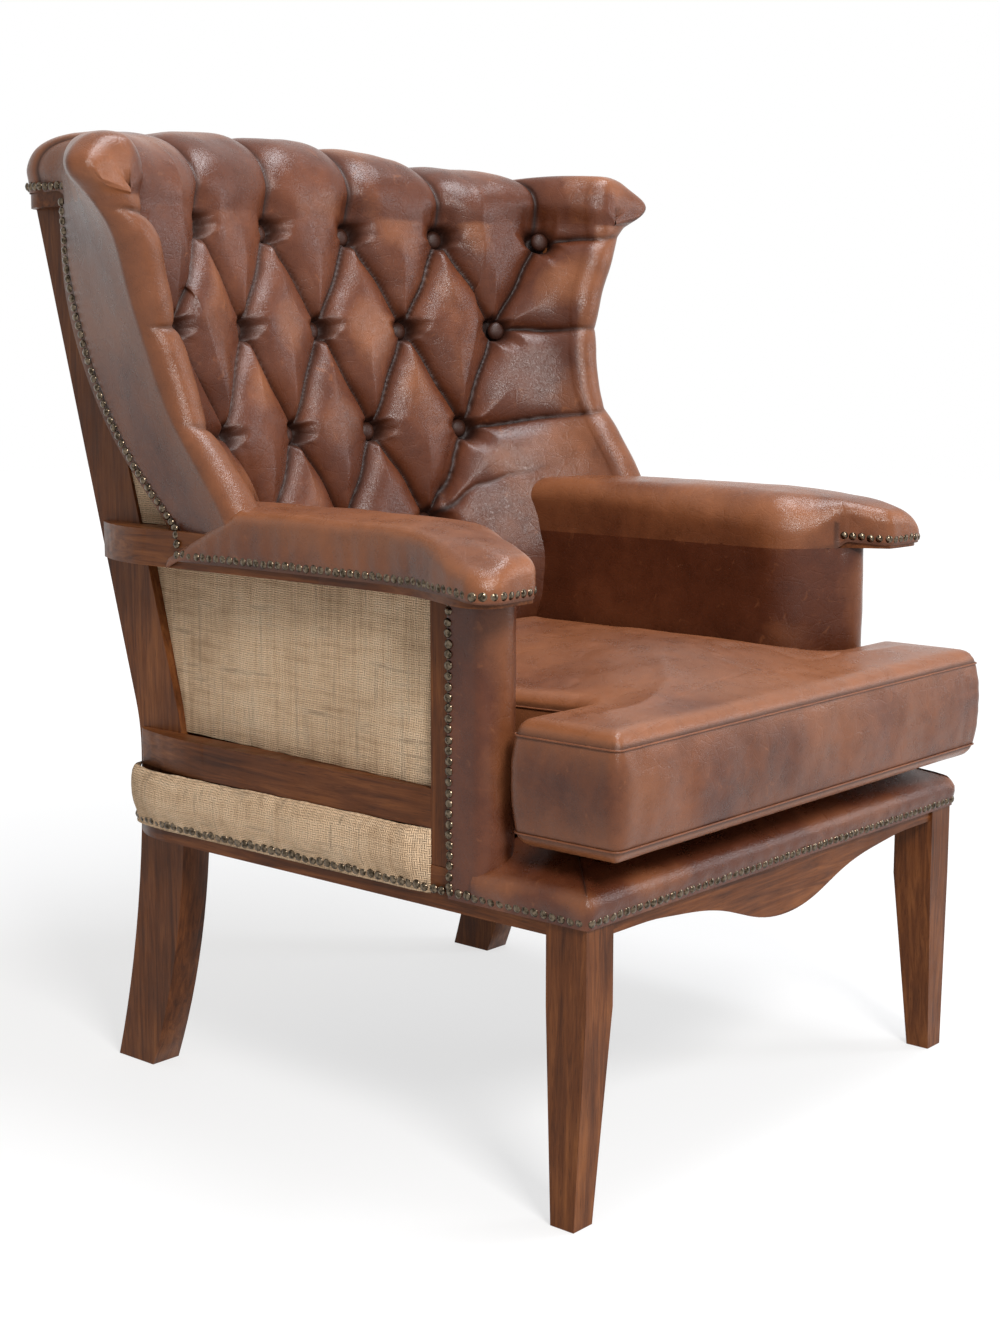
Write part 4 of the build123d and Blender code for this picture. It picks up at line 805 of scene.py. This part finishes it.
def build_arm(sign):
    plan, nailed = arm_plan()
    d = lengths(plan)
    join = d[nailed - 1]
    plan = resample(plan, 340)
    s = np.linspace(0, d[-1], len(plan))
    y = plan[:, 1]
    inner = smooth(s, join - 14, join + 50)  # 0 along the nails, 1 on the inner side
    spine_y = np.interp(y, [76, 127, 171, 230, 600], [112, 152, 196, 236, 600])
    spine_y = eased(np.where(s < join - 40, np.maximum(y, 112), spine_y), 8)
    spine_x = np.interp(spine_y, [112, 150, 196, 254, 560], [348, 322, 303, 297, 294])
    t = np.linspace(0, 1, 40) ** 1.7
    span = np.column_stack([spine_x, spine_y]) - plan
    reach = np.linalg.norm(span, axis=1)[:, None]
    top = plan[:, None, :] + span[:, None, :] * t[None, :, None]
    tx, ty = top[..., 0], top[..., 1]
    dist = reach * t
    radius = np.minimum((13 + inner * (13 + 12 * smooth(y, 480, 230)))[:, None], 0.9 * reach)
    round_in = radius * (1 - np.clip(dist / radius, 0, 1))
    z = pad_top(ty) - 13 * smooth(tx, 345, 386) * smooth(ty, 180, 105)
    z = z - 3 * inner[:, None] * (1 - t)[None, :] * smooth(ty, 330, 190)
    seam = np.clip((ty - 451) * 0.48, 0, 60) * (1 - smooth(dist, 4, 50)) * (1 - inner)[:, None]
    z = z - seam + 4.0 * (1 - (1 - t) ** 2)[None, :]
    z = z - radius + np.sqrt(np.clip(radius ** 2 - round_in ** 2, 0, None))
    # the side wall, from its foot up to the first top point
    foot = ARM_NAIL_Z - 7 - 4 * smooth(y, 130, 75)
    foot = (foot + (ARM_FOOT - foot) * smooth(s, join - 10, join + 4))[:, None]
    u = np.linspace(0, 1, 12)[:-1]
    verts = np.concatenate([raised(plan[:, None], foot + (z[:, :1] - foot) * u), raised(top, z)], 1)
    n = grid_normals(verts, (len(s) // 4, 45), (0, 0, 1))
    shape = verts.shape[:2]
    col = np.arange(shape[1])
    free = (1 - inner)[:, None]
    edge = 1 - free * (1 - smooth(col, 0, 5))[None, :]
    # thin over the board's tip
    lump = arm_lumps(verts, sign) * (0.35 + 0.65 * smooth(verts[..., 1], 60, 150))
    gather = 0.5 * np.sin(s[:, None] / 4.5 + 2 * noise(verts, 50)) * (1 - smooth(col, 4, 18))[None, :] * free
    pleat = (1.6 * np.abs(np.sin(s[:, None] / 5.5)) * smooth(np.abs(s - join), 26, 4)[:, None]
             * (1 - smooth(col, 6, 20))[None, :])
    verts = verts + n * ((lump + gather - pleat + 0.8) * edge)[..., None]
    worn = 0.8 + 0.25 * noise(verts, 60, 4) + 0.3 * bell(col - 18, 9.0)[None, :]
    # painted shade along the nailed foot of the side wall and in the pleats at the end of the nail line
    fold = np.zeros(shape)
    fold[:, :2] = 0.5 * free
    fold = np.maximum(fold, 0.6 * (pleat > 1.2))

    # the inner face and the wrap round the front of the post
    curve = resample(STUMP, 210)
    cx, cy = curve.T
    cd = lengths(curve)
    zs = np.concatenate([np.linspace(ARM_FOOT, DECK, 60), np.linspace(DECK, 291, 14)[1:]])
    sv = raised(curve, zs[:, None])
    sn = grid_normals(sv, (10, 60), (-1, 0, 0))
    down = (ARM_FOOT - zs)[:, None]
    near_top = bell(down, 22.0) * smooth(cx, 296, 284)
    lump = noise(sv * np.array([1, 1, 0.45]), 46, 6.0 + sign) * 1.4 + noise(sv, 22, 2.0) * 0.4
    lump = lump * (1 - near_top) + (arm_lumps(sv, sign) + 0.8) * near_top
    pucker = bell(np.hypot(cx - 292, cy - 125), 22)
    drape = -2.6 * np.abs(np.sin(cd / 6.0)) * bell(down, 14.0) * pucker
    sv = sv + sn * ((lump + drape) * (1 - smooth(cd, cd[-1] - 14, cd[-1])))[..., None]
    sv[:, -1] -= (PROUD, 0, 0)
    nose = bell(np.hypot(cx - 318, cy - 112), 18.0)
    s_worn = 0.35 + 0.4 * noise(sv, 60, 4) + 0.35 * nose
    # painted shade on the front of the post just under the overhanging arm top
    s_fold = 0.7 * bell(down, 9.0) * smooth(cx, 288, 300)

    faces = np.vstack([grid_faces(*shape), grid_faces(*s_fold.shape, start=fold.size, flip=True)])
    tag = SIDES[sign]
    mirror = np.array([sign, 1, 1])
    o = leather_object("arm_leather" + tag, [verts * mirror, sv * mirror], faces[:, ::sign], [fold, s_fold],
                       [worn, s_worn])
    weld(o, 0.00005)
    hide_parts("arm_pad" + tag, "inside_arm" + tag)
    return plan[s < join - 3]


def build_board(sign):
    """The arm board, cut at the inner corner of its tip, where the photograph shows only leather."""
    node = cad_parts["arm_rail" + SIDES[sign]]
    bm = bmesh.new()
    bm.from_mesh(node.data)
    bm.transform(node.matrix_world)
    bmesh.ops.remove_doubles(bm, verts=bm.verts, dist=WELD)
    along = Vector((-27.0 * sign, 51.0, 0)).normalized()
    across = Vector((along.y, -along.x, 0)) * sign
    cut = bmesh.ops.bisect_plane(bm, geom=bm.verts[:] + bm.edges[:] + bm.faces[:], plane_no=across,
                                 plane_co=Vector(row((321.0 * sign, 77.0, 600.0))), clear_inner=True)
    bmesh.ops.holes_fill(bm, edges=[e for e in cut["geom_cut"] if isinstance(e, bmesh.types.BMEdge)])
    me = bpy.data.meshes.new("arm_board")
    bm.to_mesh(me)
    bm.free()
    me.materials.append(WOOD[1])
    o = add_object("arm_board" + SIDES[sign], me, "chair")
    soften(o)
    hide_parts(node.name)


for sign in SIDES:
    arm_edge = build_arm(sign)
    build_board(sign)


# ---- seat platform
LIP_FRONT = -3.0
LIP_ROUND = 5.0
# distance inward and height
LIP_PROFILE = [(0.0, 291.0), (-0.3, 296), (-1.8, 301), (-3.4, 307), (-3.0, 314), (0.6, 320.5), (7, 325.5),
               (17, 330), (32, 335.5), (52, 342), (74, 347), (96, 350)]


def lip_path():
    """Perimeter of the platform's front, seen from above, left to right."""
    side, front, r = SKIN - LIP_ROUND, LIP_FRONT + LIP_ROUND, LIP_ROUND
    half = [(x, LIP_FRONT) for x in np.linspace(0, side, 50)]
    half += [(side + r * math.sin(a), front - r * math.cos(a)) for a in np.linspace(0, math.pi / 2, 7)[1:]]
    half += [(SKIN, y) for y in np.linspace(front, 136, 24)[1:]]
    return np.array([(-x, y) for x, y in half[:0:-1]] + half, float)


def build_lip():
    path = resample(lip_path(), 300)
    middle = len(path) // 2
    inward = -beside(unit(np.gradient(path, axis=0)))
    profile = resample(LIP_PROFILE, 46)
    # mitre: the inward run stops on the diagonal at each corner
    v = []
    for a, z in profile:
        q = path + inward * a
        if a > 2:
            side = np.abs(path[:, 0]) > SKIN - 0.1
            q[:, 1] = np.where(side, np.maximum(path[:, 1], LIP_FRONT + a), LIP_FRONT + a)
            q[:, 0] = np.clip(path[:, 0], -(SKIN - a), SKIN - a)
        v.append(raised(q, z))
    v = np.array(v)
    n = grid_normals(v, (3, middle), (0, -1, 0))
    x, y, z = np.moveaxis(v, -1, 0)
    lump = noise(v * np.array([0.6, 1, 1]), 50, 8) * 1.2 + noise(v, 20, 1) * 0.4
    edge = smooth(np.arange(len(profile)), 0, 8)[:, None]
    gather = 0.6 * np.sin((x + y) / 4.5 + 2 * noise(v, 60)) * bell(z - 302, 8)
    corner = np.hypot(np.abs(path[:, 0]) - SKIN, path[:, 1] - LIP_FRONT)
    mitre = bell(np.abs(SKIN - np.abs(x) - (y - LIP_FRONT)), 3.0) * smooth(z, 322, 328)
    # the corner and mitre creases are pushed in slightly and also get painted shade
    fold = np.maximum(bell(corner, 2.2)[None, :] * 0.5 * smooth(z, 296, 304), 0.7 * mitre)
    v = v + n * ((lump + gather) * edge - fold * 1.6)[..., None]
    worn = 0.25 + 0.45 * noise(v, 50) + 0.35 * bell(v[..., 2] - 318, 9)
    o = leather_object("platform_leather", [v], grid_faces(*fold.shape), [fold], [worn])
    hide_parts("platform_front")


build_lip()

# ---- seat cushion
CUSHION = [(337, -35), (337, 98), (212, 98), (228, 230), (228, 540)]  # right half, from front to rear
CUSHION_ROUND = [12, 15, 26, 58, 40]
CUSHION_MIDDLE = np.array([0.0, 40.0])
N_EDGE, N_BAND = 520, 34
# height of the seam, rise of the panel's edge, its crown, and which way it faces
PANELS = {"top": (460.0, 17.0, 25.0, 1), "bottom": (368.0, 15.5, 1.4, -1)}


def seam(name, line, parent):
    """A thin rolled lip of leather along a seam of the cushion."""
    sides = 8
    t = unit(np.roll(line, -1, 0) - np.roll(line, 1, 0))
    side = unit(np.cross(t, [0.0, 0.0, 1.0]) + 1e-6)
    lift = np.cross(side, t)
    a = np.linspace(0, 2 * math.pi, sides, endpoint=False)
    ring = side[:, None, :] * np.cos(a)[None, :, None] + lift[:, None, :] * np.sin(a)[None, :, None]
    faces = [(i * sides + k, i * sides + (k + 1) % sides, (i + 1) % N_EDGE * sides + (k + 1) % sides,
              (i + 1) % N_EDGE * sides + k) for i in range(N_EDGE) for k in range(sides)]
    o = leather_object(name, [line[:, None, :] + ring], faces, [0], [0.7], "seat_cushion", LEATHER_SEAM)
    o.parent = parent
    o.matrix_parent_inverse = Matrix.Identity(4)


def build_cushion():
    outline = rounded(CUSHION + [(0, 566)] + [(-x, y) for x, y in reversed(CUSHION)],
                      CUSHION_ROUND + [260] + CUSHION_ROUND[::-1])
    ol = resample(outline, N_EDGE, closed=True)
    flat = raised(ol, 0)
    t = unit(np.roll(ol, -1, 0) - np.roll(ol, 1, 0))
    outw = beside(t)
    arc = lengths(ol)

    def dist(q):
        """Distance of points to the outline."""
        best = np.full(len(q), 1e9)
        for i in range(0, N_EDGE, 2):
            a, b = ol[i], ol[(i + 2) % N_EDGE]
            ab = b - a
            tt = np.clip(((q - a) @ ab) / max(ab @ ab, 1e-9), 0, 1)
            best = np.minimum(best, np.linalg.norm(q - a - tt[:, None] * ab, axis=1))
        return best

    rings = 1 - np.concatenate([[0, .004, .012, .022, .035, .05, .068, .09], np.linspace(.12, 0.985, 40)])
    panels, worn, fold = [], [], []
    for z_seam, rise, crown, up in PANELS.values():
        q = CUSHION_MIDDLE + (ol - CUSHION_MIDDLE)[None] * rings[:, None, None]
        dd = dist(q.reshape(-1, 2)).reshape(q.shape[:2])
        dd[0] = 0
        edge = rise * np.sqrt(np.clip(1 - (1 - np.clip(dd / 27, 0, 1)) ** 2, 0, 1))
        z = z_seam + up * (edge + crown * smooth(dd, 15, 190))
        inset = 4.0 * (1 - smooth(dd, 0, 25))
        p = raised(q - outw * inset[..., None], z)
        if up > 0:
            # settled leather: soft hollows, long creases and gathers into the seam
            sag = noise(p * np.array([1, 1, 0]), 120, 2) * 3.0 + noise(p, 45, 7) * 1.3
            crease = bell(np.abs(noise(p * np.array([0.5, 1, 0]), 55, 3.7)), 0.05) * 1.1 * smooth(dd, 15, 60)
            p[..., 2] += sag * smooth(dd, 4, 60) - crease
            g = np.sin(arc / 5.2 + 3 * noise(flat, 70)) * (0.5 + 0.5 * noise(flat + (0, 0, 1), 45))
            p[..., 2] += 0.3 * g[None, :] * bell(dd - 8, 8)
        else:
            p[..., 2] = np.maximum(p[..., 2], DECK + 0.6)
        panels.append(p)
        worn.append(0.8 + 0.3 * noise(p, 90, 1) + 0.4 * bell(dd - 8, 12))
        # painted shade along the panel's edge, in the seam
        fold.append(bell(dd, 1.3) * 0.7)
    # band between the seams
    tb = np.linspace(0, 1, N_BAND)
    share = tb[:, None, None]
    band = panels[0][0] * (1 - share) + panels[1][0] * share
    band[..., :2] += outw * (8.0 * np.sin(math.pi * tb) ** 0.85)[:, None, None] * 0.62
    bend = np.abs(np.gradient(np.unwrap(np.arctan2(t[:, 1], t[:, 0]))) / np.gradient(arc))
    bend = eased(bend, 20, "wrap")
    wobble = noise(band * np.array([1, 1, 0.5]), 34, 5) * 1.8 + noise(band, 15, 2) * 0.5
    wrinkle = np.sin(arc / 4.6 + 4 * noise(flat, 40, 3)) * (0.25 + 60 * np.clip(bend, 0, 0.03))
    shape = np.sin(math.pi * tb)[:, None]
    near = (np.exp(-tb / 0.2) + np.exp(-(1 - tb) / 0.2))[:, None]
    push = (wobble + wrinkle[None, :] * 0.9 * near) * shape ** 0.5
    hook = noise(band * np.array([0.25, 0.25, 1]), 9, 8) * 0.6
    band[..., :2] += outw[None] * (push + hook * shape)[..., None]
    band_worn = 0.65 + 0.3 * noise(band, 60, 6) + 0.3 * np.exp(-tb / 0.12)[:, None]
    # painted shade at both seams of the band
    band_fold = 0.6 * (bell(tb, 0.02) + bell(1 - tb, 0.02))[:, None]
    middles = [[*CUSHION_MIDDLE, p[-1, :, 2].mean()] for p in panels]
    nr = len(rings)
    faces = np.vstack([grid_faces(nr, N_EDGE, close=True, flip=True),
                       grid_faces(N_BAND, N_EDGE, close=True, start=nr * N_EDGE),
                       grid_faces(nr, N_EDGE, close=True, start=(nr + N_BAND) * N_EDGE)])
    last = (2 * nr + N_BAND) * N_EDGE
    faces = [tuple(f) for f in faces]
    for i in range(N_EDGE):
        j = (i + 1) % N_EDGE
        a, b = (nr - 1) * N_EDGE, last - N_EDGE
        faces += [(a + j, a + i, last), (b + i, b + j, last + 1)]
    o = leather_object("cushion_leather", [panels[0], band, panels[1], middles], faces,
                       [fold[0], band_fold, fold[1], 0], [worn[0], band_worn, worn[1], 0.3], "seat_cushion")
    weld(o, 0.00001)
    edit(o.data, lambda bm: bmesh.ops.recalc_face_normals(bm, faces=bm.faces))
    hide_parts("seat_cushion")
    for name, p in zip(PANELS, panels):
        line = p[0] + (0, 0, 0.4 * PANELS[name][3])
        line[:, :2] += outw * 0.9
        seam("cushion_seam_" + name, line, o)


build_cushion()


# ---- hessian
def post_bend(z, low, high):
    """A place on the back post, which is upright at its waist and then leans back."""
    z = np.asarray(z, float)
    return np.where(z < BEND_TOP, low + (high - low) * smooth(z, 370, BEND_TOP),
                    high + POST_SLOPE * (z - BEND_TOP))


def post_front(z):
    return post_bend(z, 588, 595.3)


def cloth(name, v, mat, node, slot="hessian", sign=1):
    faces = grid_faces(*v.shape[:2], flip=sign < 0)
    o = mesh_object(name, v.reshape(-1, 3) * np.array([sign, 1, 1]), faces, mat, slot=slot)
    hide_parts(node)


def arm_cloth(sign):
    """Outside of the arm: slack cloth between the lower arm rail and the arm board."""
    nu, nv = 120, 56
    v = np.zeros((nv, nu, 3))
    for j, z in enumerate(np.linspace(395.4, 582.6, nv)):
        y = np.linspace(192.4, float(post_front(z)) - 0.5, nu)
        v[j] = np.column_stack([331 + (298 - 331) * ((y - 192.3) / (638 - 192.3)), y, np.full(nu, z)])
    a = np.linspace(0, 1, nu)[None, :]
    b = np.linspace(0, 1, nv)[:, None]
    dome = np.sin(math.pi * a) ** 0.5 * np.sin(math.pi * b) ** 0.5
    wave = noise(v * np.array([1, 1, 0.5]), 80, 3 + sign) * 2.2 + noise(v, 25, 2) * 0.5
    drawn = 0.8 * np.sin(v[..., 1] / 7.0) * (np.exp(-b / 0.06) + np.exp(-(1 - b) / 0.06))
    v[..., 0] += (wave + 2.0) * dome * 0.9 + drawn * np.sin(math.pi * a) ** 0.3
    return v


def seat_cloth(sign):
    """Side of the seat, bulging between the rails, from the arm post round to the back post."""
    path = [(326, 192.4), (334, 192.4)]
    path += [(338.5 + 11.5 * float(smooth(y, 190, 222)), y) for y in np.linspace(192.6, 585, 80)]
    path += [(350 - 31 * (1 - math.cos(t)) ** 0.9, 585 + 74 * math.sin(t))
             for t in np.linspace(0, math.pi / 2, 22)[1:]]
    path = resample(path + [(316, 660.2), (311, 660.4)], 190)
    x, y = path.T
    outw = beside(unit(np.gradient(path, axis=0)))
    outw[y < 215] = (1, 0)
    profile = resample([(-10.4, 291.5), (-9.8, 297), (-8.0, 303), (-3.5, 312), (-0.4, 322), (0, 332),
                        (-1.2, 342), (-4.5, 350), (-8.5, 354.5), (-12, 355.6)], 30)
    share = (1 - 0.45 * smooth(y, 600, 655)) * (0.12 + 0.88 * smooth(y, 190, 225))
    share = np.where((x < 336) & (y < 200), 0.0, share)
    v = np.array([raised(path + outw * (off * share)[:, None], z) for off, z in profile])
    n = grid_normals(v, (15, 80), (1, 0, 0))
    gather = (0.9 * np.sin(v[..., 1] / 5.5 + 3 * noise(v, 50))
              * (bell(v[..., 2] - 303, 8) + 0.7 * bell(v[..., 2] - 350, 6)))
    edge = smooth(np.arange(len(profile)), 0, 5)[:, None] * smooth(y, 193, 215)[None, :]
    return v + n * ((noise(v, 40, 1 + sign) * 1.4 + gather) * edge)[..., None]


def wing_cloth():
    """Behind the wing board, in the gap to the post."""
    zs = np.linspace(622.5, 900, 400)
    gap = post_front(zs) - 0.6 - (rear_z(zs) - 6)
    v = []
    for z in np.linspace(622.5, zs[np.argmax(gap < 3)], 40):
        low, high = float(rear_z(z)) - 6, float(post_front(z)) - 0.6
        y = np.linspace(low, max(high, low + 0.5), 8)
        v.append(np.column_stack([0 * y + 306.5, y, 0 * y + z]))
    v = np.array(v)
    v[..., 0] += 0.6 * noise(v, 30)
    return v


for sign, tag in SIDES.items():
    cloth("hessian_arm" + tag, arm_cloth(sign), HESSIAN_SIDE, "outside_arm_hessian" + tag,
          sign=sign)
    cloth("hessian_seat" + tag, seat_cloth(sign), HESSIAN_SIDE, "side_seat_hessian" + tag,
          sign=sign)
    cloth("hessian_wing" + tag, wing_cloth(), HESSIAN_SIDE, "wing_hessian" + tag,
          sign=sign)


def panel(name, mat, node, u_range, v_range, place, amount, slot="hessian"):
    """A stretched cloth: place(u, v) gives its flat points and the direction that it may bulge in."""
    nu, nv = 90, 60
    v, out = place(*np.meshgrid(np.linspace(*u_range, nu), np.linspace(*v_range, nv)))
    a, b = (np.sin(math.pi * np.linspace(0, 1, k)) ** 0.6 for k in (nu, nv))
    lump = (noise(v, 120, 3) * 2.5 + noise(v, 40, 2) + 1.0) * a[None, :] * b[:, None] * amount
    v = v + np.array(out) * lump[..., None]
    cloth(name, v, mat, node, slot)


def upright(y):
    return lambda u, w: (np.stack([u, y(w), w], -1), (0, 1, 0))


def level(z, up):
    return lambda u, w: (np.stack([u, w, z + 0 * w], -1), (0, 0, up))


panel("hessian_back_panel", HESSIAN_BACK, "outside_back_hessian",
      (-271.5, 271.5), (395.5, 964.5), upright(lambda z: post_bend(z, 658, 665.3) - 8), 1.0)
panel("hessian_rear_seat", HESSIAN_BACK, "rear_seat_hessian",
      (-271.5, 271.5), (299, 366.5), upright(lambda z: 651.4 + 0 * z), 0.5)
panel("deck_cloth", HESSIAN_DECK, "seat_deck",
      (-234.5, 234.5), (171.5, 623.5), level(349.0, 1), 0.35)
panel("dust_cloth", BLACK, "dust_cover",
      (-296.5, 296.5), (31, 649.5), level(277.2, -1), 0.4, "black_cloth")


# ---- nails
NAIL_STEP = 10.4
NAIL_WIDE, NAIL_HIGH = 4.7, 2.6


def nail_lines():
    """Lines of nails: points and the direction that the nails face, or None where the line gives it."""
    lines = []
    for s in SIDES:
        m = np.array([s, 1, 1])
        out = np.array([s, 0, 0])
        # side of the seat, leather and then hessian
        lines.append((np.array([(340.4, 6, NAIL_Z), (340.4, 186, NAIL_Z)]) * m, out))
        side = [(341.2, 198, 298.5)] + [(341.2, y, 298.5) for y in np.linspace(220, 588, 12)]
        side += [(338.5 - 21 * (1 - math.cos(t)), 588 + 66 * math.sin(t), 298.5)
                 for t in np.linspace(0.1, math.pi / 2, 10)]
        lines.append((np.array(side) * m, None))
        # arm post, up the edge of the leather
        lines.append((np.array([(340.3, 166, 303), (340.3, 166, 580)]) * m, out))
        # arm, along the outer edge and round the paddle
        line = raised(arm_edge, ARM_NAIL_Z - 4 * smooth(arm_edge[:, 1], 130, 75))
        lines.append((line[line[:, 1] < 541] * m, None))
        # wing, along the board
        z = np.linspace(609, 968, 60)
        on_board = np.clip(z, ARM_TOP, CREST)
        y = rear_z(on_board) - 16.5 - 14 * (1 - smooth(z, 606, 640))
        x = board_x(y, on_board) + 3.4 + 10 * (1 - smooth(z, 610, 636))
        lines.append((np.column_stack([x, y, z]) * m, out))
    # front of the seat
    lines.append((np.array([(-334, -3.6, NAIL_Z), (334, -3.6, NAIL_Z)]), np.array([0, -1, 0])))
    # crest, along the ends and the rear
    half = [(340.4, 728, 986), (339.8, 772, 987), (334.6, 798, 988), (318.6, 816.5, 988), (303, 830.6, 988),
            (286, 834.6, 988), (150, 834.6, 988), (0, 834.6, 988)]
    lines.append((np.array(half + [(-x, y, z) for x, y, z in reversed(half[:-1])]), None))
    return lines


def build_nails():
    places = []
    for line, facing in nail_lines():
        pts = resample(line, step=NAIL_STEP)
        for p, d in zip(pts, unit(np.gradient(pts, axis=0))):
            out = facing
            if facing is None:
                out = unit(np.array([d[1], -d[0], 0.0]))
                beside = 300 * np.sign(p[0]) * (590 < p[2] < 610)  # the arm's nails face away from its middle
                if out @ np.array([p[0] - beside, (p[1] - 330) * 0.9, 0]) < 0:
                    out = -out
            out = unit(out + rng.normal(0, 0.05, 3))
            side = unit(np.cross(out, [0, 0, 1.0]))
            up = np.cross(side, out)
            c = p + side * rng.normal(0, 0.35) + up * rng.normal(0, 0.3)
            places.append((c, out, side, up, NAIL_HIGH, NAIL_WIDE * (1 + rng.normal(0, 0.03))))

    def shape(place, across, down):
        a = down * math.pi / 2
        return place[5] * math.sin(a), NAIL_HIGH * math.cos(a) - 0.3

    verts, faces = domes(places, 4, 12, shape)
    mesh_object("nails", verts, [f[::-1] for f in faces], NAIL)


build_nails()

# ---- camera and light
PHOTO_HIGH = 1327.0
SENSOR = 36.0
link = bpy.context.scene.collection.objects.link

cam = bpy.data.objects.new("camera", bpy.data.cameras.new("camera"))
link(cam)
cam.location = (-1.752, -1.521, 0.825)
cam.rotation_euler = (math.radians(90 - 9.078), 0, math.radians(-49.183))
cam.data.sensor_fit = "AUTO"
cam.data.sensor_width = SENSOR
cam.data.lens = 2050.0 / PHOTO_HIGH * SENSOR
bpy.context.scene.camera = cam

world = bpy.context.scene.world = bpy.data.worlds.new("world")
n = Nodes(world)
n.fill(n.nt.nodes["Background"], Color=(1, 1, 1, 1), Strength=n.seen(0.36, 1.0))

# The floor keeps the shadow on it near the chair, and is plain white further away.
n = Nodes(bpy.data.materials.new("floor"))
n.shader(Base_Color=(0.8, 0.8, 0.8, 1), Roughness=0.9, Specular_IOR_Level=0.0)
far = n.new("VectorMath", operation="LENGTH")
n.put(far.inputs[0], n.place())
away = n.new("MapRange", interpolation_type="SMOOTHSTEP")
n.fill(away, Value=far.outputs["Value"], From_Min=0.7, From_Max=2.4, To_Min=0.6, To_Max=1.0)
blend = n.new("MixShader")
glow = n.fill(n.new("Emission"), Strength=1.12)
n.fill(blend, Fac=n.mul(n.seen(0.0, 1.0), away.outputs["Result"]))
n.put(blend.inputs[1], n.nt.nodes["Principled BSDF"].outputs["BSDF"])
n.put(blend.inputs[2], glow.outputs["Emission"])
n.put(n.nt.nodes["Material Output"].inputs["Surface"], blend.outputs["Shader"])
FLOOR_HALF, FLOOR_Z = 9, -0.0005
corners = [(FLOOR_HALF * x, FLOOR_HALF * y, FLOOR_Z) for x, y in ((-1, -1), (1, -1), (1, 1), (-1, 1))]
mesh = bpy.data.meshes.new("floor")
mesh.from_pydata(corners, [], [(0, 1, 2, 3)])
mesh.materials.append(n.owner)
floor = bpy.data.objects.new("floor", mesh)
link(floor)


def area(name, place, target, size, power, color):
    lamp = bpy.data.lights.new(name, "AREA")
    lamp.shape = "RECTANGLE"
    lamp.size, lamp.size_y = size
    lamp.energy = power
    lamp.color = color
    o = bpy.data.objects.new(name, lamp)
    link(o)
    o.location = place
    o.rotation_euler = (Vector(target) - o.location).to_track_quat("-Z", "Y").to_euler()


area("key", (-1.3, -2.4, 2.35), (0, 0, 0.6), (0.8, 0.8), 88, (1.0, 0.98, 0.96))
area("top", (0.4, -0.5, 2.9), (0, 0.1, 0.6), (1.3, 0.7), 58, (0.94, 0.96, 1.0))
area("side", (2.1, -2.1, 1.5), (0, 0, 0.6), (0.7, 1.3), 24, (0.92, 0.95, 1.0))

bpy.context.scene.view_settings.view_transform = "Standard"
bpy.context.scene.view_settings.look = "None"
